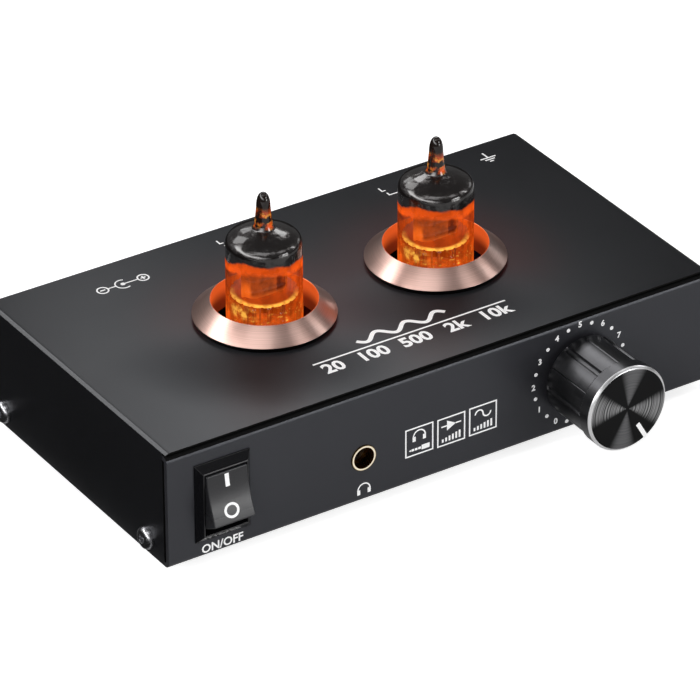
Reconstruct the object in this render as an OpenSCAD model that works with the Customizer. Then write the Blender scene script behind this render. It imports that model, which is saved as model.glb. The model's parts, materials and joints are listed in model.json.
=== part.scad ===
// Two-tube phono preamplifier in a folded sheet-metal case.
// Origin: the centre of the case's footprint, on the plane that the rubber feet stand on.
// X runs to the right, Y to the back and Z up; the switch, jack and knob face -Y.

/* [Case] */
// Width of the case
case_w = 152; // [146:1:190]
// Depth of the case over its front and rear panels
case_d = 82.2; // [80:0.2:120]
// Height of the case from the underside of its tray to the top of its cover
case_h = 31; // [30:0.5:36]
// Thickness of the cover's sheet
cover_t = 1; // [0.8:0.1:1.5]
// Thickness of the tray's sheet
tray_t = 1.2; // [1:0.1:1.5]
// Outer radius of every fold in the sheets
fold_r = 1.6; // [1.6:0.1:2]
// Depth of the lips that turn back at the top of both panels
lip_d = 8; // [6:0.5:12]
// How far the cover's front and rear edges stay behind the panels' faces
cover_setback = 0.6; // [0.3:0.1:1]
// Gap between a side of the cover and the panel that it ends behind
side_gap = 0.8; // [0.5:0.1:1.5]
// Slip between the tray and the cover's sides
slip = 0.3; // [0.2:0.05:0.5]
// Height of the tray's low side flanges
flange_h = 10; // [8:0.5:14]

/* [Feet] */
// Diameter of a rubber foot
foot_d = 9; // [7:0.5:12]
// Height of a rubber foot
foot_h = 3; // [2:0.5:5]
// Distance from the case's edges to a foot's centre
foot_inset = 12; // [9:0.5:16]

/* [Cover screws] */
// Thread diameter of the cover screws
cover_screw_d = 3; // [2.5:0.5:3]
// Head diameter of the cover screws
cover_head_d = 5.7; // [5:0.1:6]
// Head height of the cover screws
cover_head_h = 1.65; // [1.2:0.05:2]
// Hexagon socket of the cover screws, across its flats
cover_socket_af = 2; // [1.5:0.1:2.5]
// Length of the cover screws under their heads
cover_screw_len = 5; // [4:0.5:5]
// Height of the cover screws above the tray's underside
cover_screw_z = 3.9; // [3.5:0.1:6]
// Distance from the front panel's face to the front cover screws
screw_front = 9.4; // [7:0.2:14]
// Distance from the rear panel's face to the rear cover screws
screw_rear = 6.9; // [6:0.1:14]
// Radius of the pressed bosses that take the cover screws
screw_boss_r = 2.6; // [2.2:0.1:3]
// How far those bosses stand in from the flanges
screw_boss_h = 1.8; // [1:0.1:3]

/* [Circuit board] */
// Thickness of the circuit board
board_t = 1.6; // [1.2:0.1:2]
// Height of the standoffs under the board
standoff_h = 5.7; // [5:0.1:7]
// Hexagon of the standoffs, across its flats
standoff_af = 5.5; // [5:0.5:6]
// Gap between the board and the panels
board_gap = 2.4; // [1.5:0.1:4]
// Gap between the board and the case's sides
board_side_gap = 5; // [5:0.5:7]
// Distance from the board's edges to its screws
board_screw_inset = 4; // [3.5:0.5:5]
// Thread diameter of the board's screws
board_screw_d = 3; // [2.5:0.5:3]
// Head diameter of the board's screws
board_head_d = 5.6; // [5:0.1:6]
// Head height of the board's screws
board_head_h = 2; // [1.5:0.1:2.5]

/* [Tubes] */
// Distance between the two tubes
tube_pitch = 48.5; // [44:0.5:60]
// Distance of the tubes in front of the case's middle
tube_forward = 0.8; // [-5:0.2:5]
// Outer diameter of a tube's glass
tube_d = 18.3; // [17:0.1:19]
// Height of a tube from its glass base to its tip
tube_h = 38.1; // [36:0.1:42]
// Height of the tip that stands on a tube's dome
tip_h = 8.7; // [7:0.1:10]
// Height of a tube's dome
dome_h = 8.5; // [7:0.1:9]
// Diameter of the tip
tip_d = 3.1; // [2.6:0.1:3.4]
// Wall of the glass
glass_t = 0.9; // [0.7:0.05:1.1]
// Thickness of the glass button that the pins pass through
button_t = 3; // [2.5:0.1:4]
// Depth of the tubes' glass bases below the cover's top
tube_sink = 4.6; // [4:0.1:7]
// Number of pins, of eight places on the pin circle
pin_count = 7; // [7:1:7]
// Diameter of the pin circle
pin_circle_d = 9.53; // [9:0.05:10]
// Diameter of a pin
pin_d = 1.02; // [0.9:0.02:1.1]
// Length of a pin below the glass
pin_len = 7; // [6:0.1:7.5]
// Thickness of the mica spacers
mica_t = 0.3; // [0.2:0.05:0.5]
// Height of the lower mica above the glass base
mica_low_z = 11.45; // [10:0.05:12]
// Distance between the two micas' lower faces
mica_pitch = 9; // [7:0.1:9.2]
// Width of the plate
plate_w = 11; // [9:0.1:12]
// Depth of the plate
plate_d = 5.4; // [4.5:0.1:6]
// Thickness of the plate's sheet
plate_t = 0.3; // [0.2:0.05:0.4]
// Diameter of the cathode sleeve
cathode_d = 1.3; // [1:0.1:1.6]
// Diameter of the grid rods
grid_rod_d = 0.7; // [0.5:0.05:0.9]
// Distance between the grid rods
grid_rod_pitch = 5.2; // [4:0.1:6]
// Diameter of the getter ring
getter_d = 5.6; // [4:0.1:6.5]
// Diameter of the getter's wire
getter_wire_d = 0.7; // [0.5:0.1:0.9]
// Height of the getter ring above the upper mica
getter_lift = 3.2; // [2:0.1:3.6]

/* [Tube sockets] */
// Diameter of a socket
socket_d = 17.8; // [16:0.1:18]
// Height of a socket's insulating block
socket_h = 8; // [7.6:0.1:9]
// Wall of the skirt that holds a socket up from the board
skirt_t = 1.5; // [1:0.1:2]
// Outer diameter of a contact sleeve
contact_d = 1.9; // [1.7:0.05:2]
// Diameter of a contact's tail
tail_d = 0.9; // [0.7:0.05:1]
// Play of a pin in its contact sleeve, on the radius
pin_play = 0.07; // [0.03:0.01:0.1]
// Diameter of the light under each tube
led_d = 3; // [2:0.1:3]
// Gap between that light and the glass
led_gap = 0.5; // [0.3:0.1:1]

/* [Trim rings] */
// Outer diameter of a trim ring
ring_od = 34.6; // [32:0.2:37]
// Inner diameter of a trim ring
ring_id = 25.5; // [24:0.1:27]
// Height of a trim ring above the cover
ring_h = 5; // [3:0.1:6]
// Height of a ring's upright rim
ring_rim_h = 1.2; // [0.8:0.1:1.6]
// Wall of the spigot that goes through the cover
spigot_t = 0.9; // [0.7:0.1:1.2]
// Reach of the spigot below the cover
spigot_h = 1.5; // [1:0.1:2]

/* [Volume control] */
// Distance from the case's right side to the volume control's axis
volume_inset = 37.5; // [34:0.5:42]
// Height of the control's axis above the board
pot_axis_h = 6.5; // [6:0.1:7]
// Width of the control's housing
pot_w = 9.7; // [9:0.1:11]
// Height of the control's housing
pot_h = 11.4; // [11:0.1:13]
// Depth of the control's housing
pot_d = 12; // [10:0.5:15]
// Diameter of the threaded bushing
bushing_d = 7; // [6.6:0.1:8]
// Reach of the bushing in front of the panel
bushing_reach = 3.8; // [3:0.1:4]
// Diameter of the shaft
shaft_d = 6; // [5:0.1:6]
// Depth of the flat on the shaft
shaft_flat = 1.5; // [1:0.1:1.8]
// Radial play of the shaft in its bushing
shaft_play = 0.05; // [0.02:0.01:0.08]
// Nut on the bushing, across its flats
pot_nut_af = 10; // [9:0.5:11]
// Thickness of that nut
pot_nut_t = 2; // [1.5:0.1:2.2]
// Thickness of the washer under that nut
pot_washer_t = 0.5; // [0.3:0.1:0.8]

/* [Knob] */
// Diameter of the knob's front collar
knob_d = 22.3; // [20:0.1:24]
// Diameter of the knob's fluted body
knob_body_d = 21.2; // [19:0.1:22]
// Diameter of the knob's turned face inside its bright chamfer
knob_face_d = 20.4; // [18:0.1:21]
// Distance from the panel to the knob's face
knob_reach = 20; // [18:0.1:24]
// Gap between the panel and the knob
knob_gap = 1.4; // [1:0.1:2]
// Length of the front collar
collar_len = 3.9; // [3:0.1:5]
// Width of the groove behind the collar
collar_groove_w = 0.5; // [0.3:0.1:1]
// Depth of that groove below the body
collar_groove_deep = 0.7; // [0.4:0.1:1]
// Length of the chamfer round the face
knob_chamfer = 0.8; // [0.5:0.1:1.2]
// Number of wide flutes; as many fine lines lie between them
flute_count = 6; // [4:1:12]
// Radius of the cutter that makes a wide flute
flute_r = 0.85; // [0.6:0.05:1]
// Depth of a wide flute
flute_deep = 0.7; // [0.4:0.05:0.9]
// Width and depth of a fine line
line_w = 0.3; // [0.2:0.05:0.4]
// Diameter of the recess that takes the nut
recess_d = 14.5; // [13.2:0.1:16]
// Depth of that recess
recess_deep = 3.4; // [3.2:0.1:5]
// Depth of the shaft's bore in the knob, from the knob's back
knob_bore_deep = 15; // [10:0.5:16]
// Thread diameter of the grub screw
grub_d = 3; // [2.5:0.1:3]
// Distance from the knob's back to the grub screw
grub_y = 6.5; // [5.2:0.1:9]

/* [Rocker switch] */
// Distance from the case's left side to the switch's middle
switch_inset = 14.6; // [13:0.1:18]
// Height of the switch's middle above the tray's underside
switch_z = 15.2; // [14:0.1:17]
// Width of the bezel
bezel_w = 15; // [14.6:0.1:16]
// Height of the bezel
bezel_h = 21; // [20.6:0.1:22]
// How far the bezel's inner rim stands off the panel
bezel_rise = 1.9; // [1.4:0.1:2]
// Height of the bezel's edge on the panel
bezel_edge = 0.3; // [0.2:0.1:0.6]
// Width of the well that the rocker moves in
well_w = 11.4; // [11.3:0.1:11.6]
// Height of that well
well_h = 16.3; // [16.2:0.1:16.6]
// Width of the housing behind the panel
switch_body_w = 13; // [12.8:0.1:13.4]
// Height of the housing behind the panel
switch_body_h = 18.6; // [18.4:0.1:19]
// Depth of the housing from the panel's face
switch_body_d = 12.5; // [12:0.5:16]
// Width of the rocker
rocker_w = 11; // [10.6:0.1:11.2]
// Distance from the pivot to the line through the face's two ends
rocker_reach = 6.75; // [6.5:0.05:6.8]
// Distance between the face's two ends
rocker_span = 12.5; // [12:0.05:12.5]
// Depth of the hollow in the rocker's face
rocker_hollow = 0.6; // [0.3:0.05:0.8]
// Angle of the rocker to either side of its middle place
rocker_tilt = 16.5; // [12:0.5:16.5]
// Depth of the pivot behind the panel's face
pivot_deep = 2.4; // [2.2:0.05:3]
// Diameter of the rocker's pivot pins
pivot_d = 2.4; // [2:0.1:3]
// Radial play of the pivot pins
pivot_play = 0.05; // [0.02:0.01:0.08]
// Width of a terminal blade
blade_w = 4.8; // [4:0.1:6.3]
// Thickness of a terminal blade
blade_t = 0.8; // [0.5:0.1:1]
// Length of a terminal blade behind the housing
blade_len = 7.5; // [6:0.5:9]
// Distance between the two blades
blade_pitch = 8; // [7:0.5:9]

/* [Leads] */
// Diameter of an insulated lead
lead_d = 1.6; // [1.2:0.1:1.8]
// Bend radius of the leads at their middle
lead_bend = 2; // [1.6:0.1:2.4]

/* [Headphone jack] */
// Distance from the case's left side to the jack's axis
jack_inset = 53.3; // [48:0.1:58]
// Height of the jack's axis above the board
jack_axis_h = 3.6; // [3.6:0.1:5]
// Diameter of the plug's bore
plug_d = 3.6; // [3.55:0.01:3.7]
// Length of plug that the jack takes
plug_len = 14; // [13:0.5:15]
// Outer diameter of the jack's bush
bush_d = 6.6; // [6:0.1:7]
// Diameter of the bush's mouth
bush_mouth_d = 5.5; // [5:0.1:5.8]
// Depth of the bush's mouth
bush_deep = 4; // [2:0.5:5]
// How far the bush stands off the panel
bush_reach = 0.3; // [0.1:0.1:1]
// Width of the jack's housing
jack_w = 12; // [10:0.5:14]
// Height of the jack's housing
jack_h = 7.4; // [7.2:0.1:9]
// Depth of the jack's housing
jack_d = 14; // [14:0.5:16]
// Thickness of the jack's spring contacts
jack_leaf_t = 0.3; // [0.2:0.05:0.4]

/* [Power inlet] */
// Distance from the case's left side to the inlet's axis
inlet_inset = 31.4; // [28:0.2:36]
// Height of the inlet's axis above the board
inlet_axis_h = 6.5; // [6.5:0.1:8]
// Width of the inlet's housing
inlet_w = 9; // [9:0.1:10]
// Height of the inlet's housing
inlet_h = 11; // [11:0.1:12]
// Depth of the inlet's housing inside the panel
inlet_d = 11; // [11:0.5:14]
// Diameter of the inlet's round nose
inlet_nose_d = 8; // [7.6:0.1:8.6]
// Diameter of the hole that takes the plug's barrel
inlet_bore_d = 6.3; // [5.8:0.1:6.5]
// Depth of that hole
inlet_bore_deep = 9.5; // [9:0.5:10]
// Diameter of the inlet's centre pin
inlet_pin_d = 2; // [2:0.1:2.5]

/* [Phono sockets] */
// Distance between the two sockets of a pair
rca_pitch = 17.3; // [16:0.1:19]
// Distance of the output pair's middle from the case's middle, to the left
rca_out_left = 6.15; // [4:0.05:8]
// Distance of the input pair's middle from the case's right side
rca_in_inset = 35.35; // [34:0.05:38]
// Height of the sockets' axes above the board
rca_axis_h = 8.5; // [8:0.1:9]
// Outer diameter of a socket's shell
rca_shell_d = 8.3; // [8.2:0.05:8.4]
// Wall of the shell
rca_shell_t = 0.6; // [0.4:0.05:0.8]
// Reach of the shell behind the panel's flange
rca_reach = 9; // [8:0.1:10]
// Diameter of the flange round a shell
rca_flange_d = 12; // [10:0.5:13]
// Thickness of that flange
rca_flange_t = 0.8; // [0.5:0.1:1.2]
// Diameter of the bore that takes a plug's centre pin
rca_pin_bore_d = 3.3; // [3.2:0.02:3.4]
// Wall of the centre contact
rca_contact_t = 0.35; // [0.2:0.05:0.5]
// How far the insulator stays inside the shell's mouth
rca_mouth = 1; // [0.5:0.1:2]
// Width of a pair's block inside the panel
rca_block_w = 29; // [28:0.5:32]
// Height of that block
rca_block_h = 15; // [14:0.5:16]
// Depth of that block
rca_block_d = 10; // [8:0.5:11]

/* [Ground terminal] */
// Distance from the case's right side to the terminal
ground_inset = 13; // [10:0.5:14]
// Height of the terminal above the board
ground_axis_h = 8.5; // [7:0.5:11]
// Diameter of the terminal's stud
stud_d = 4; // [3:0.1:5]
// Reach of the stud behind the panel
stud_reach = 12; // [11:0.5:16]
// Diameter of the fixed collar against the panel
stud_collar_d = 8; // [7:0.5:10]
// Thickness of that collar
stud_collar_t = 1.2; // [0.8:0.1:2]
// Thickness of the washer that clamps a wire's tag
ground_washer_t = 0.8; // [0.5:0.1:1.2]
// Diameter of that washer
ground_washer_d = 9; // [8:0.5:11]
// Diameter of the knurled thumb nut
thumb_nut_d = 9.5; // [8:0.5:12]
// Length of the thumb nut
thumb_nut_len = 6; // [5:0.5:7]
// Number of flutes round the thumb nut
thumb_flutes = 18; // [12:1:24]
// Radial play of the washer and the thumb nut on the stud
stud_play = 0.05; // [0.02:0.01:0.08]
// Inner nut of the terminal, across its flats
ground_nut_af = 7; // [7:0.5:9]
// Thickness of the inner nut
ground_nut_t = 2.4; // [2:0.1:3]
// Thickness of the solder tag under the inner nut
tag_t = 0.5; // [0.4:0.1:0.8]

/* [Board parts] */
// Diameter of a filter capacitor
filter_cap_d = 10; // [8:0.5:11]
// Height of a filter capacitor
filter_cap_h = 16; // [12:0.5:19]
// Length of a coupling capacitor
film_cap_l = 13; // [11:0.5:15]
// Thickness of a coupling capacitor
film_cap_w = 6; // [5:0.5:7]
// Height of a coupling capacitor
film_cap_h = 12; // [10:0.5:15]
// Diameter of a resistor's body
resistor_d = 2.4; // [1.8:0.1:3]
// Length of a resistor's body
resistor_l = 6.4; // [5:0.1:7]
// Diameter of a resistor's wires
resistor_wire_d = 0.7; // [0.5:0.05:0.9]
// Length of an amplifier chip
chip_l = 9.2; // [9:0.1:10]
// Width of an amplifier chip
chip_w = 6.4; // [6:0.1:7]
// Height of an amplifier chip's body
chip_h = 3.3; // [3:0.1:4]
// Width of the heat sink
sink_w = 14; // [12:0.5:15]
// Space between the heat sink and the cover
sink_gap = 1.5; // [1:0.1:5]
// Thickness of the heat sink's back
sink_t = 1.6; // [1:0.1:2]
// Depth of the heat sink's fins
sink_fin = 6.4; // [4:0.2:8]
// Outer diameter of the inductor
coil_d = 11; // [9:0.5:12]
// Bore of the inductor
coil_bore_d = 5; // [4:0.5:6]
// Height of the inductor
coil_h = 4.6; // [3:0.1:6]
// Space between neighbouring parts on the board
part_gap = 3; // [2:0.5:4]

/* [Hidden] */

$fn = 64;
eps = 0.01;                          // overshoot of a cutting tool
fit_gap = 0.02;                      // gap between fixed round pieces that fit each other
hole_gap = 0.1;                      // gap round a piece that passes through a sheet

half_w = case_w / 2;
half_d = case_d / 2;
panel_h = case_h - cover_t;          // the cover lies on the panels' lips
floor_z = foot_h;                    // underside of the tray
cover_top = floor_z + case_h;
tray_half_w = half_w - cover_t - slip;
side_end = half_d - tray_t - side_gap;

board_z = floor_z + tray_t + standoff_h;
board_top = board_z + board_t;
board_half_w = half_w - board_side_gap;
board_half_d = half_d - tray_t - board_gap;
standoff_x = board_half_w - board_screw_inset;
standoff_y = board_half_d - board_screw_inset;

tube_y = -tube_forward;
tube_x = tube_pitch / 2;
tube_base = cover_top - tube_sink;
tube_r = tube_d / 2;
shoulder_z = tube_h - tip_h - dome_h;
mica_high_z = mica_low_z + mica_pitch;
mica_r = tube_r - glass_t - 0.15;
spigot_r = ring_id / 2 + spigot_t;
contact_top = tube_base - 0.8;
contact_floor = tube_base - pin_len - 0.2;

volume_x = half_w - volume_inset;
volume_z = board_top + pot_axis_h;
knob_back = -half_d - knob_gap;
knob_len = knob_reach - knob_gap;

switch_x = -half_w + switch_inset;
switch_mid = floor_z + switch_z;
pivot_y = -half_d + pivot_deep;
blade_end = -half_d + switch_body_d + blade_len;
notch_gap = 2;                       // space round the switch in the board's notch

jack_x = -half_w + jack_inset;
jack_z = board_top + jack_axis_h;
inlet_x = -half_w + inlet_inset;
inlet_z = board_top + inlet_axis_h;
rca_z = board_top + rca_axis_h;
rca_in_x = half_w - rca_in_inset;
rca_xs = [-rca_out_left - rca_pitch / 2, -rca_out_left + rca_pitch / 2,
    rca_in_x - rca_pitch / 2, rca_in_x + rca_pitch / 2];
ground_x = half_w - ground_inset;
ground_z = board_top + ground_axis_h;
ground_clamp_y = half_d + stud_collar_t + hole_gap;

// ---------- shared shapes ----------

// A block between two corners
module block(low, high) {
    translate(low) cube(high - low);
}

// A round bar along Y from y0 to y1, with its axis at x and z
module bar_y(d, y0, y1, x = 0, z = 0) {
    translate([x, y0, z]) rotate([-90, 0, 0]) cylinder(d = d, h = y1 - y0);
}

// A hexagonal bar along Y, af across its flats
module hex_y(af, y0, y1, x = 0, z = 0) {
    translate([x, y0, z]) rotate([-90, 0, 0]) cylinder(d = af / cos(30), h = y1 - y0, $fn = 6);
}

// A pipe along Y
module pipe_y(d, bore, y0, y1, x = 0, z = 0) {
    difference() {
        bar_y(d, y0, y1, x, z);
        bar_y(bore, y0 - eps, y1 + eps, x, z);
    }
}

// A flat outline in Y and Z, carried along X between two places
module along_x(x0, x1) {
    translate([x0, 0, 0]) rotate([90, 0, 90]) linear_extrude(x1 - x0) children();
}

// A flat outline in X and Z, carried along Y between two places
module along_y(y0, y1) {
    translate([0, y1, 0]) rotate([90, 0, 0]) linear_extrude(y1 - y0) children();
}

// A rectangle centred on the upright axis and standing on it, with round upper corners
module arch(w, h, r) {
    translate([-w / 2, 0]) square([w, h - r]);
    translate([-w / 2 + r, 0]) square([w - 2 * r, h]);
    for (side = [-1, 1]) translate([side * (w / 2 - r), h - r]) circle(r);
}

// The same rectangle with all four corners round
module rounded_box(w, h, r) {
    translate([-w / 2, r]) square([w, h - 2 * r]);
    translate([-w / 2 + r, 0]) square([w - 2 * r, h]);
    for (side = [-1, 1], level = [r, h - r]) translate([side * (w / 2 - r), level]) circle(r);
}

// A place on both sides of the case's middle
module both_sides() {
    for (side = [-1, 1]) mirrored_x(side) children();
}

// Its children, or their mirror image where side is -1
module mirrored_x(side) {
    if (side < 0) mirror([1, 0, 0]) children();
    else children();
}

// The places of the four cover screws, with +X as the way out on the right side
module at_cover_screws() {
    both_sides() for (y = [-half_d + screw_front, half_d - screw_rear])
        translate([0, y, floor_z + cover_screw_z]) rotate([0, 90, 0]) children();
}

// The places of the four board screws
module at_board_screws() {
    for (x = [-standoff_x, standoff_x], y = [-standoff_y, standoff_y])
        if (x > 0 || y > 0) translate([x, y, 0]) children();
    translate([-standoff_x, notch_back + board_screw_inset, 0]) children();
}

// The places of the pins round a tube's axis
module at_pins() {
    for (i = [1:pin_count]) rotate([0, 0, 360 / 8 * i - 90]) translate([pin_circle_d / 2, 0, 0]) children();
}

// A lead that leaves along Y, bends down and ends on the board
module bent_lead(x, y, z, reach, way) {
    translate([x, y, z]) mirrored_y(way) {
        bar_y(lead_d, 0, reach);
        translate([0, reach, -lead_bend]) rotate([90, 0, 90])
            rotate_extrude(angle = 90) translate([lead_bend, 0]) circle(d = lead_d);
        translate([0, reach + lead_bend, board_top - z])
            cylinder(d = lead_d, h = z - lead_bend - board_top);
    }
}

// Its children, or their mirror image front to back where way is -1
module mirrored_y(way) {
    if (way < 0) mirror([0, 1, 0]) children();
    else children();
}

// ---------- case ----------

// Cover: one sheet folded down at both sides, with a hole for each trim ring
module top_cover() {
    color("#2b2c2e") difference() {
        union() {
            along_y(-side_end, side_end) cover_outline();
            intersection() {
                along_y(-half_d + cover_setback, half_d - cover_setback) cover_outline();
                block([-half_w, -half_d, floor_z + panel_h], [half_w, half_d, cover_top]);
            }
        }
        for (x = [-tube_x, tube_x]) translate([x, tube_y, cover_top - 2 * cover_t])
            cylinder(r = spigot_r + hole_gap, h = 3 * cover_t);
        at_cover_screws() translate([0, 0, tray_half_w]) cylinder(d = cover_screw_d + 4 * hole_gap, h = 3 * cover_t);
    }
}

// The cover's folded section
module cover_outline() {
    translate([0, floor_z]) difference() {
        arch(case_w, case_h, fold_r);
        translate([0, -eps]) arch(case_w - 2 * cover_t, case_h - cover_t + eps, fold_r - cover_t);
    }
}

// Tray: floor, both panels with their lips, and the low side flanges
module base_tray() {
    color("#303134") difference() {
        union() {
            difference() {
                along_x(-half_w, half_w) tray_outline();
                both_sides() {
                    block([tray_half_w, -side_end, 0], [half_w + 1, side_end, cover_top]);
                    block([half_w - fold_r, -side_end, floor_z + flange_h], [half_w, side_end, cover_top]);
                }
            }
            both_sides() block([tray_half_w - tray_t, -side_end, floor_z],
                [tray_half_w, side_end, floor_z + flange_h]);
            at_cover_screws() translate([0, 0, tray_half_w - tray_t - screw_boss_h])
                cylinder(r = screw_boss_r, h = screw_boss_h + tray_t);
        }
        at_cover_screws() translate([0, 0, tray_half_w - 2 * (tray_t + screw_boss_h)])
            cylinder(d = cover_screw_d + 2 * fit_gap, h = 3 * (tray_t + screw_boss_h));
        panel_holes();
    }
}

// The tray's folded section: floor, panels and lips
module tray_outline() {
    inner_r = fold_r - tray_t;
    translate([0, floor_z]) difference() {
        rounded_box(case_d, panel_h, fold_r);
        translate([0, tray_t]) rounded_box(case_d - 2 * tray_t, panel_h - 2 * tray_t, inner_r);
        translate([-half_d + lip_d, tray_t + inner_r]) square([case_d - 2 * lip_d, panel_h]);
    }
}

// What passes through the front and rear panels
module panel_holes() {
    front = [-half_d - 1, -half_d + 2 * tray_t];
    rear = [half_d - 2 * tray_t, half_d + 1];
    translate([switch_x, 0, switch_mid]) block(
        [-switch_body_w / 2 - hole_gap, front[0], -switch_body_h / 2 - hole_gap],
        [switch_body_w / 2 + hole_gap, front[1], switch_body_h / 2 + hole_gap]);
    bar_y(bush_d + 2 * hole_gap, front[0], front[1], jack_x, jack_z);
    bar_y(bushing_d + 2 * hole_gap, front[0], front[1], volume_x, volume_z);
    bar_y(inlet_nose_d + 2 * hole_gap, rear[0], rear[1], inlet_x, inlet_z);
    for (x = rca_xs) bar_y(rca_shell_d + 2 * hole_gap, rear[0], rear[1], x, rca_z);
    bar_y(stud_d + 2 * hole_gap, rear[0], rear[1], ground_x, ground_z);
}

// Four stick-on feet
module rubber_feet() {
    foot_taper = 0.5;
    color("#1b1b1c") for (x = [-1, 1], y = [-1, 1])
        translate([x * (half_w - foot_inset), y * (half_d - foot_inset), 0]) {
            cylinder(d1 = foot_d - 2 * foot_taper, d2 = foot_d, h = foot_h / 3);
            translate([0, 0, foot_h / 3]) cylinder(d = foot_d, h = foot_h - foot_h / 3);
        }
}

// Four button-head screws that hold the cover to the tray
module cover_screws() {
    color("#6d6e70") at_cover_screws() {
        translate([0, 0, half_w - cover_screw_len]) cylinder(d = cover_screw_d, h = cover_screw_len);
        translate([0, 0, half_w]) difference() {
            button_head(cover_head_d / 2, cover_head_h);
            translate([0, 0, cover_head_h * 0.4])
                cylinder(d = cover_socket_af / cos(30), h = cover_head_h, $fn = 6);
        }
    }
}

// A domed screw head that stands on its flat underside
module button_head(r, h) {
    flat = 0.6;                      // share of the radius that is flat on top
    steps = 8;
    rotate_extrude() polygon(concat([[0, 0], [r, 0]],
        [for (i = [0:steps]) [r * (flat + (1 - flat) * cos(90 * i / steps)), h * (0.2 + 0.8 * sin(90 * i / steps))]],
        [[0, h]]));
}

// ---------- board ----------

// The board's notch for the switch ends here
notch_back = -half_d + switch_body_d + blade_len + notch_gap;
notch_x = switch_x + switch_body_w / 2 + notch_gap;

// Circuit board with a notch in its front left corner for the switch
module circuit_board() {
    color("#1d5a3a") difference() {
        block([-board_half_w, -board_half_d, board_z], [board_half_w, board_half_d, board_top]);
        block([-half_w, -half_d, board_z - 1], [notch_x, notch_back, board_top + 1]);
        at_board_screws() translate([0, 0, board_z - 1]) cylinder(d = board_screw_d + 2 * hole_gap, h = board_t + 2);
    }
}

// Four hexagonal standoffs between the tray and the board
module board_standoffs() {
    color("#b08d4a") at_board_screws() translate([0, 0, floor_z + tray_t]) difference() {
        cylinder(d = standoff_af / cos(30), h = standoff_h, $fn = 6);
        translate([0, 0, 1]) cylinder(d = board_screw_d + 2 * fit_gap, h = standoff_h);
    }
}

// Four pan-head screws that hold the board on its standoffs
module board_screws() {
    color("#b9babc") at_board_screws() {
        translate([0, 0, floor_z + tray_t + 2]) cylinder(d = board_screw_d, h = board_top - floor_z - tray_t - 2);
        translate([0, 0, board_top]) difference() {
            button_head(board_head_d / 2, board_head_h);
            for (turn = [0, 90]) rotate([0, 0, turn]) translate([0, 0, board_head_h])
                cube([board_head_d * 0.55, 0.7, board_head_h], center = true);
        }
    }
}

// ---------- trim rings, sockets and lights ----------

// Trim ring: an upright rim, a cone that rises to the bore, and a spigot through the cover
module trim_ring(side) {
    r = ring_od / 2;
    bore = ring_id / 2;
    edge = 0.4;                      // flat land at the top of the bore
    translate([side * tube_x, tube_y, cover_top]) rotate_extrude($fn = 96) polygon([
        [bore, -cover_t - spigot_h], [spigot_r, -cover_t - spigot_h], [spigot_r, 0], [r - 0.3, 0],
        [r, 0.3], [r, ring_rim_h], [bore + edge, ring_h], [bore, ring_h]]);
}

module trim_ring_left() { color("#b87a62") trim_ring(-1); }
module trim_ring_right() { color("#b87a62") trim_ring(1); }

// Tube socket: an insulating block on a skirt, bored for the contacts and the light
module tube_socket(side) {
    block_low = tube_base - socket_h;
    translate([side * tube_x, tube_y, 0]) difference() {
        translate([0, 0, board_top]) cylinder(d = socket_d, h = tube_base - board_top);
        translate([0, 0, board_top - 1]) cylinder(d = socket_d - 2 * skirt_t, h = block_low - board_top + 1);
        translate([0, 0, block_low - 1]) cylinder(d = led_d + 4 * hole_gap, h = socket_h + 2);
        at_pins() {
            translate([0, 0, block_low - 1])
                cylinder(d = contact_d + 2 * fit_gap, h = contact_top - block_low + 1);
            translate([0, 0, contact_top - eps]) cylinder(d = pin_d + 4 * pin_play, h = socket_h);
        }
    }
}

module tube_socket_left() { color("#e6e1d6") tube_socket(-1); }
module tube_socket_right() { color("#e6e1d6") tube_socket(1); }

// Contact sleeves of both sockets, with their tails on the board
module socket_contacts() {
    color("#c9a24d") for (x = [-tube_x, tube_x]) translate([x, tube_y, 0]) at_pins() difference() {
        union() {
            translate([0, 0, board_top]) cylinder(d = tail_d, h = contact_floor - board_top);
            translate([0, 0, contact_floor - 0.6]) cylinder(d = contact_d, h = contact_top - contact_floor + 0.6);
        }
        translate([0, 0, contact_floor]) cylinder(d = pin_d + 2 * pin_play, h = pin_len + 1);
    }
}

// The amber light in the middle of each socket, on its two legs
module tube_lights() {
    top = tube_base - led_gap;
    body_h = 5.3;
    leg_pitch = 2;
    leg_d = 0.5;
    color("#ff8a2a") for (x = [-tube_x, tube_x]) translate([x, tube_y, 0]) {
        translate([0, 0, top - body_h]) cylinder(d = led_d, h = body_h - led_d / 2);
        translate([0, 0, top - led_d / 2]) intersection() {
            sphere(d = led_d);
            translate([0, 0, led_d / 2]) cube(led_d, center = true);
        }
        for (leg = [-1, 1]) translate([leg * leg_pitch / 2, 0, board_top])
            cylinder(d = leg_d, h = top - body_h - board_top);
    }
}

// ---------- tubes ----------

// Points of an ellipse's arc, from angle a0 to angle a1
function arc(cx, cz, rx, rz, a0, a1, steps) =
    [for (i = [0:steps]) let (a = a0 + (a1 - a0) * i / steps) [cx + rx * cos(a), cz + rz * sin(a)]];

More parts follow.
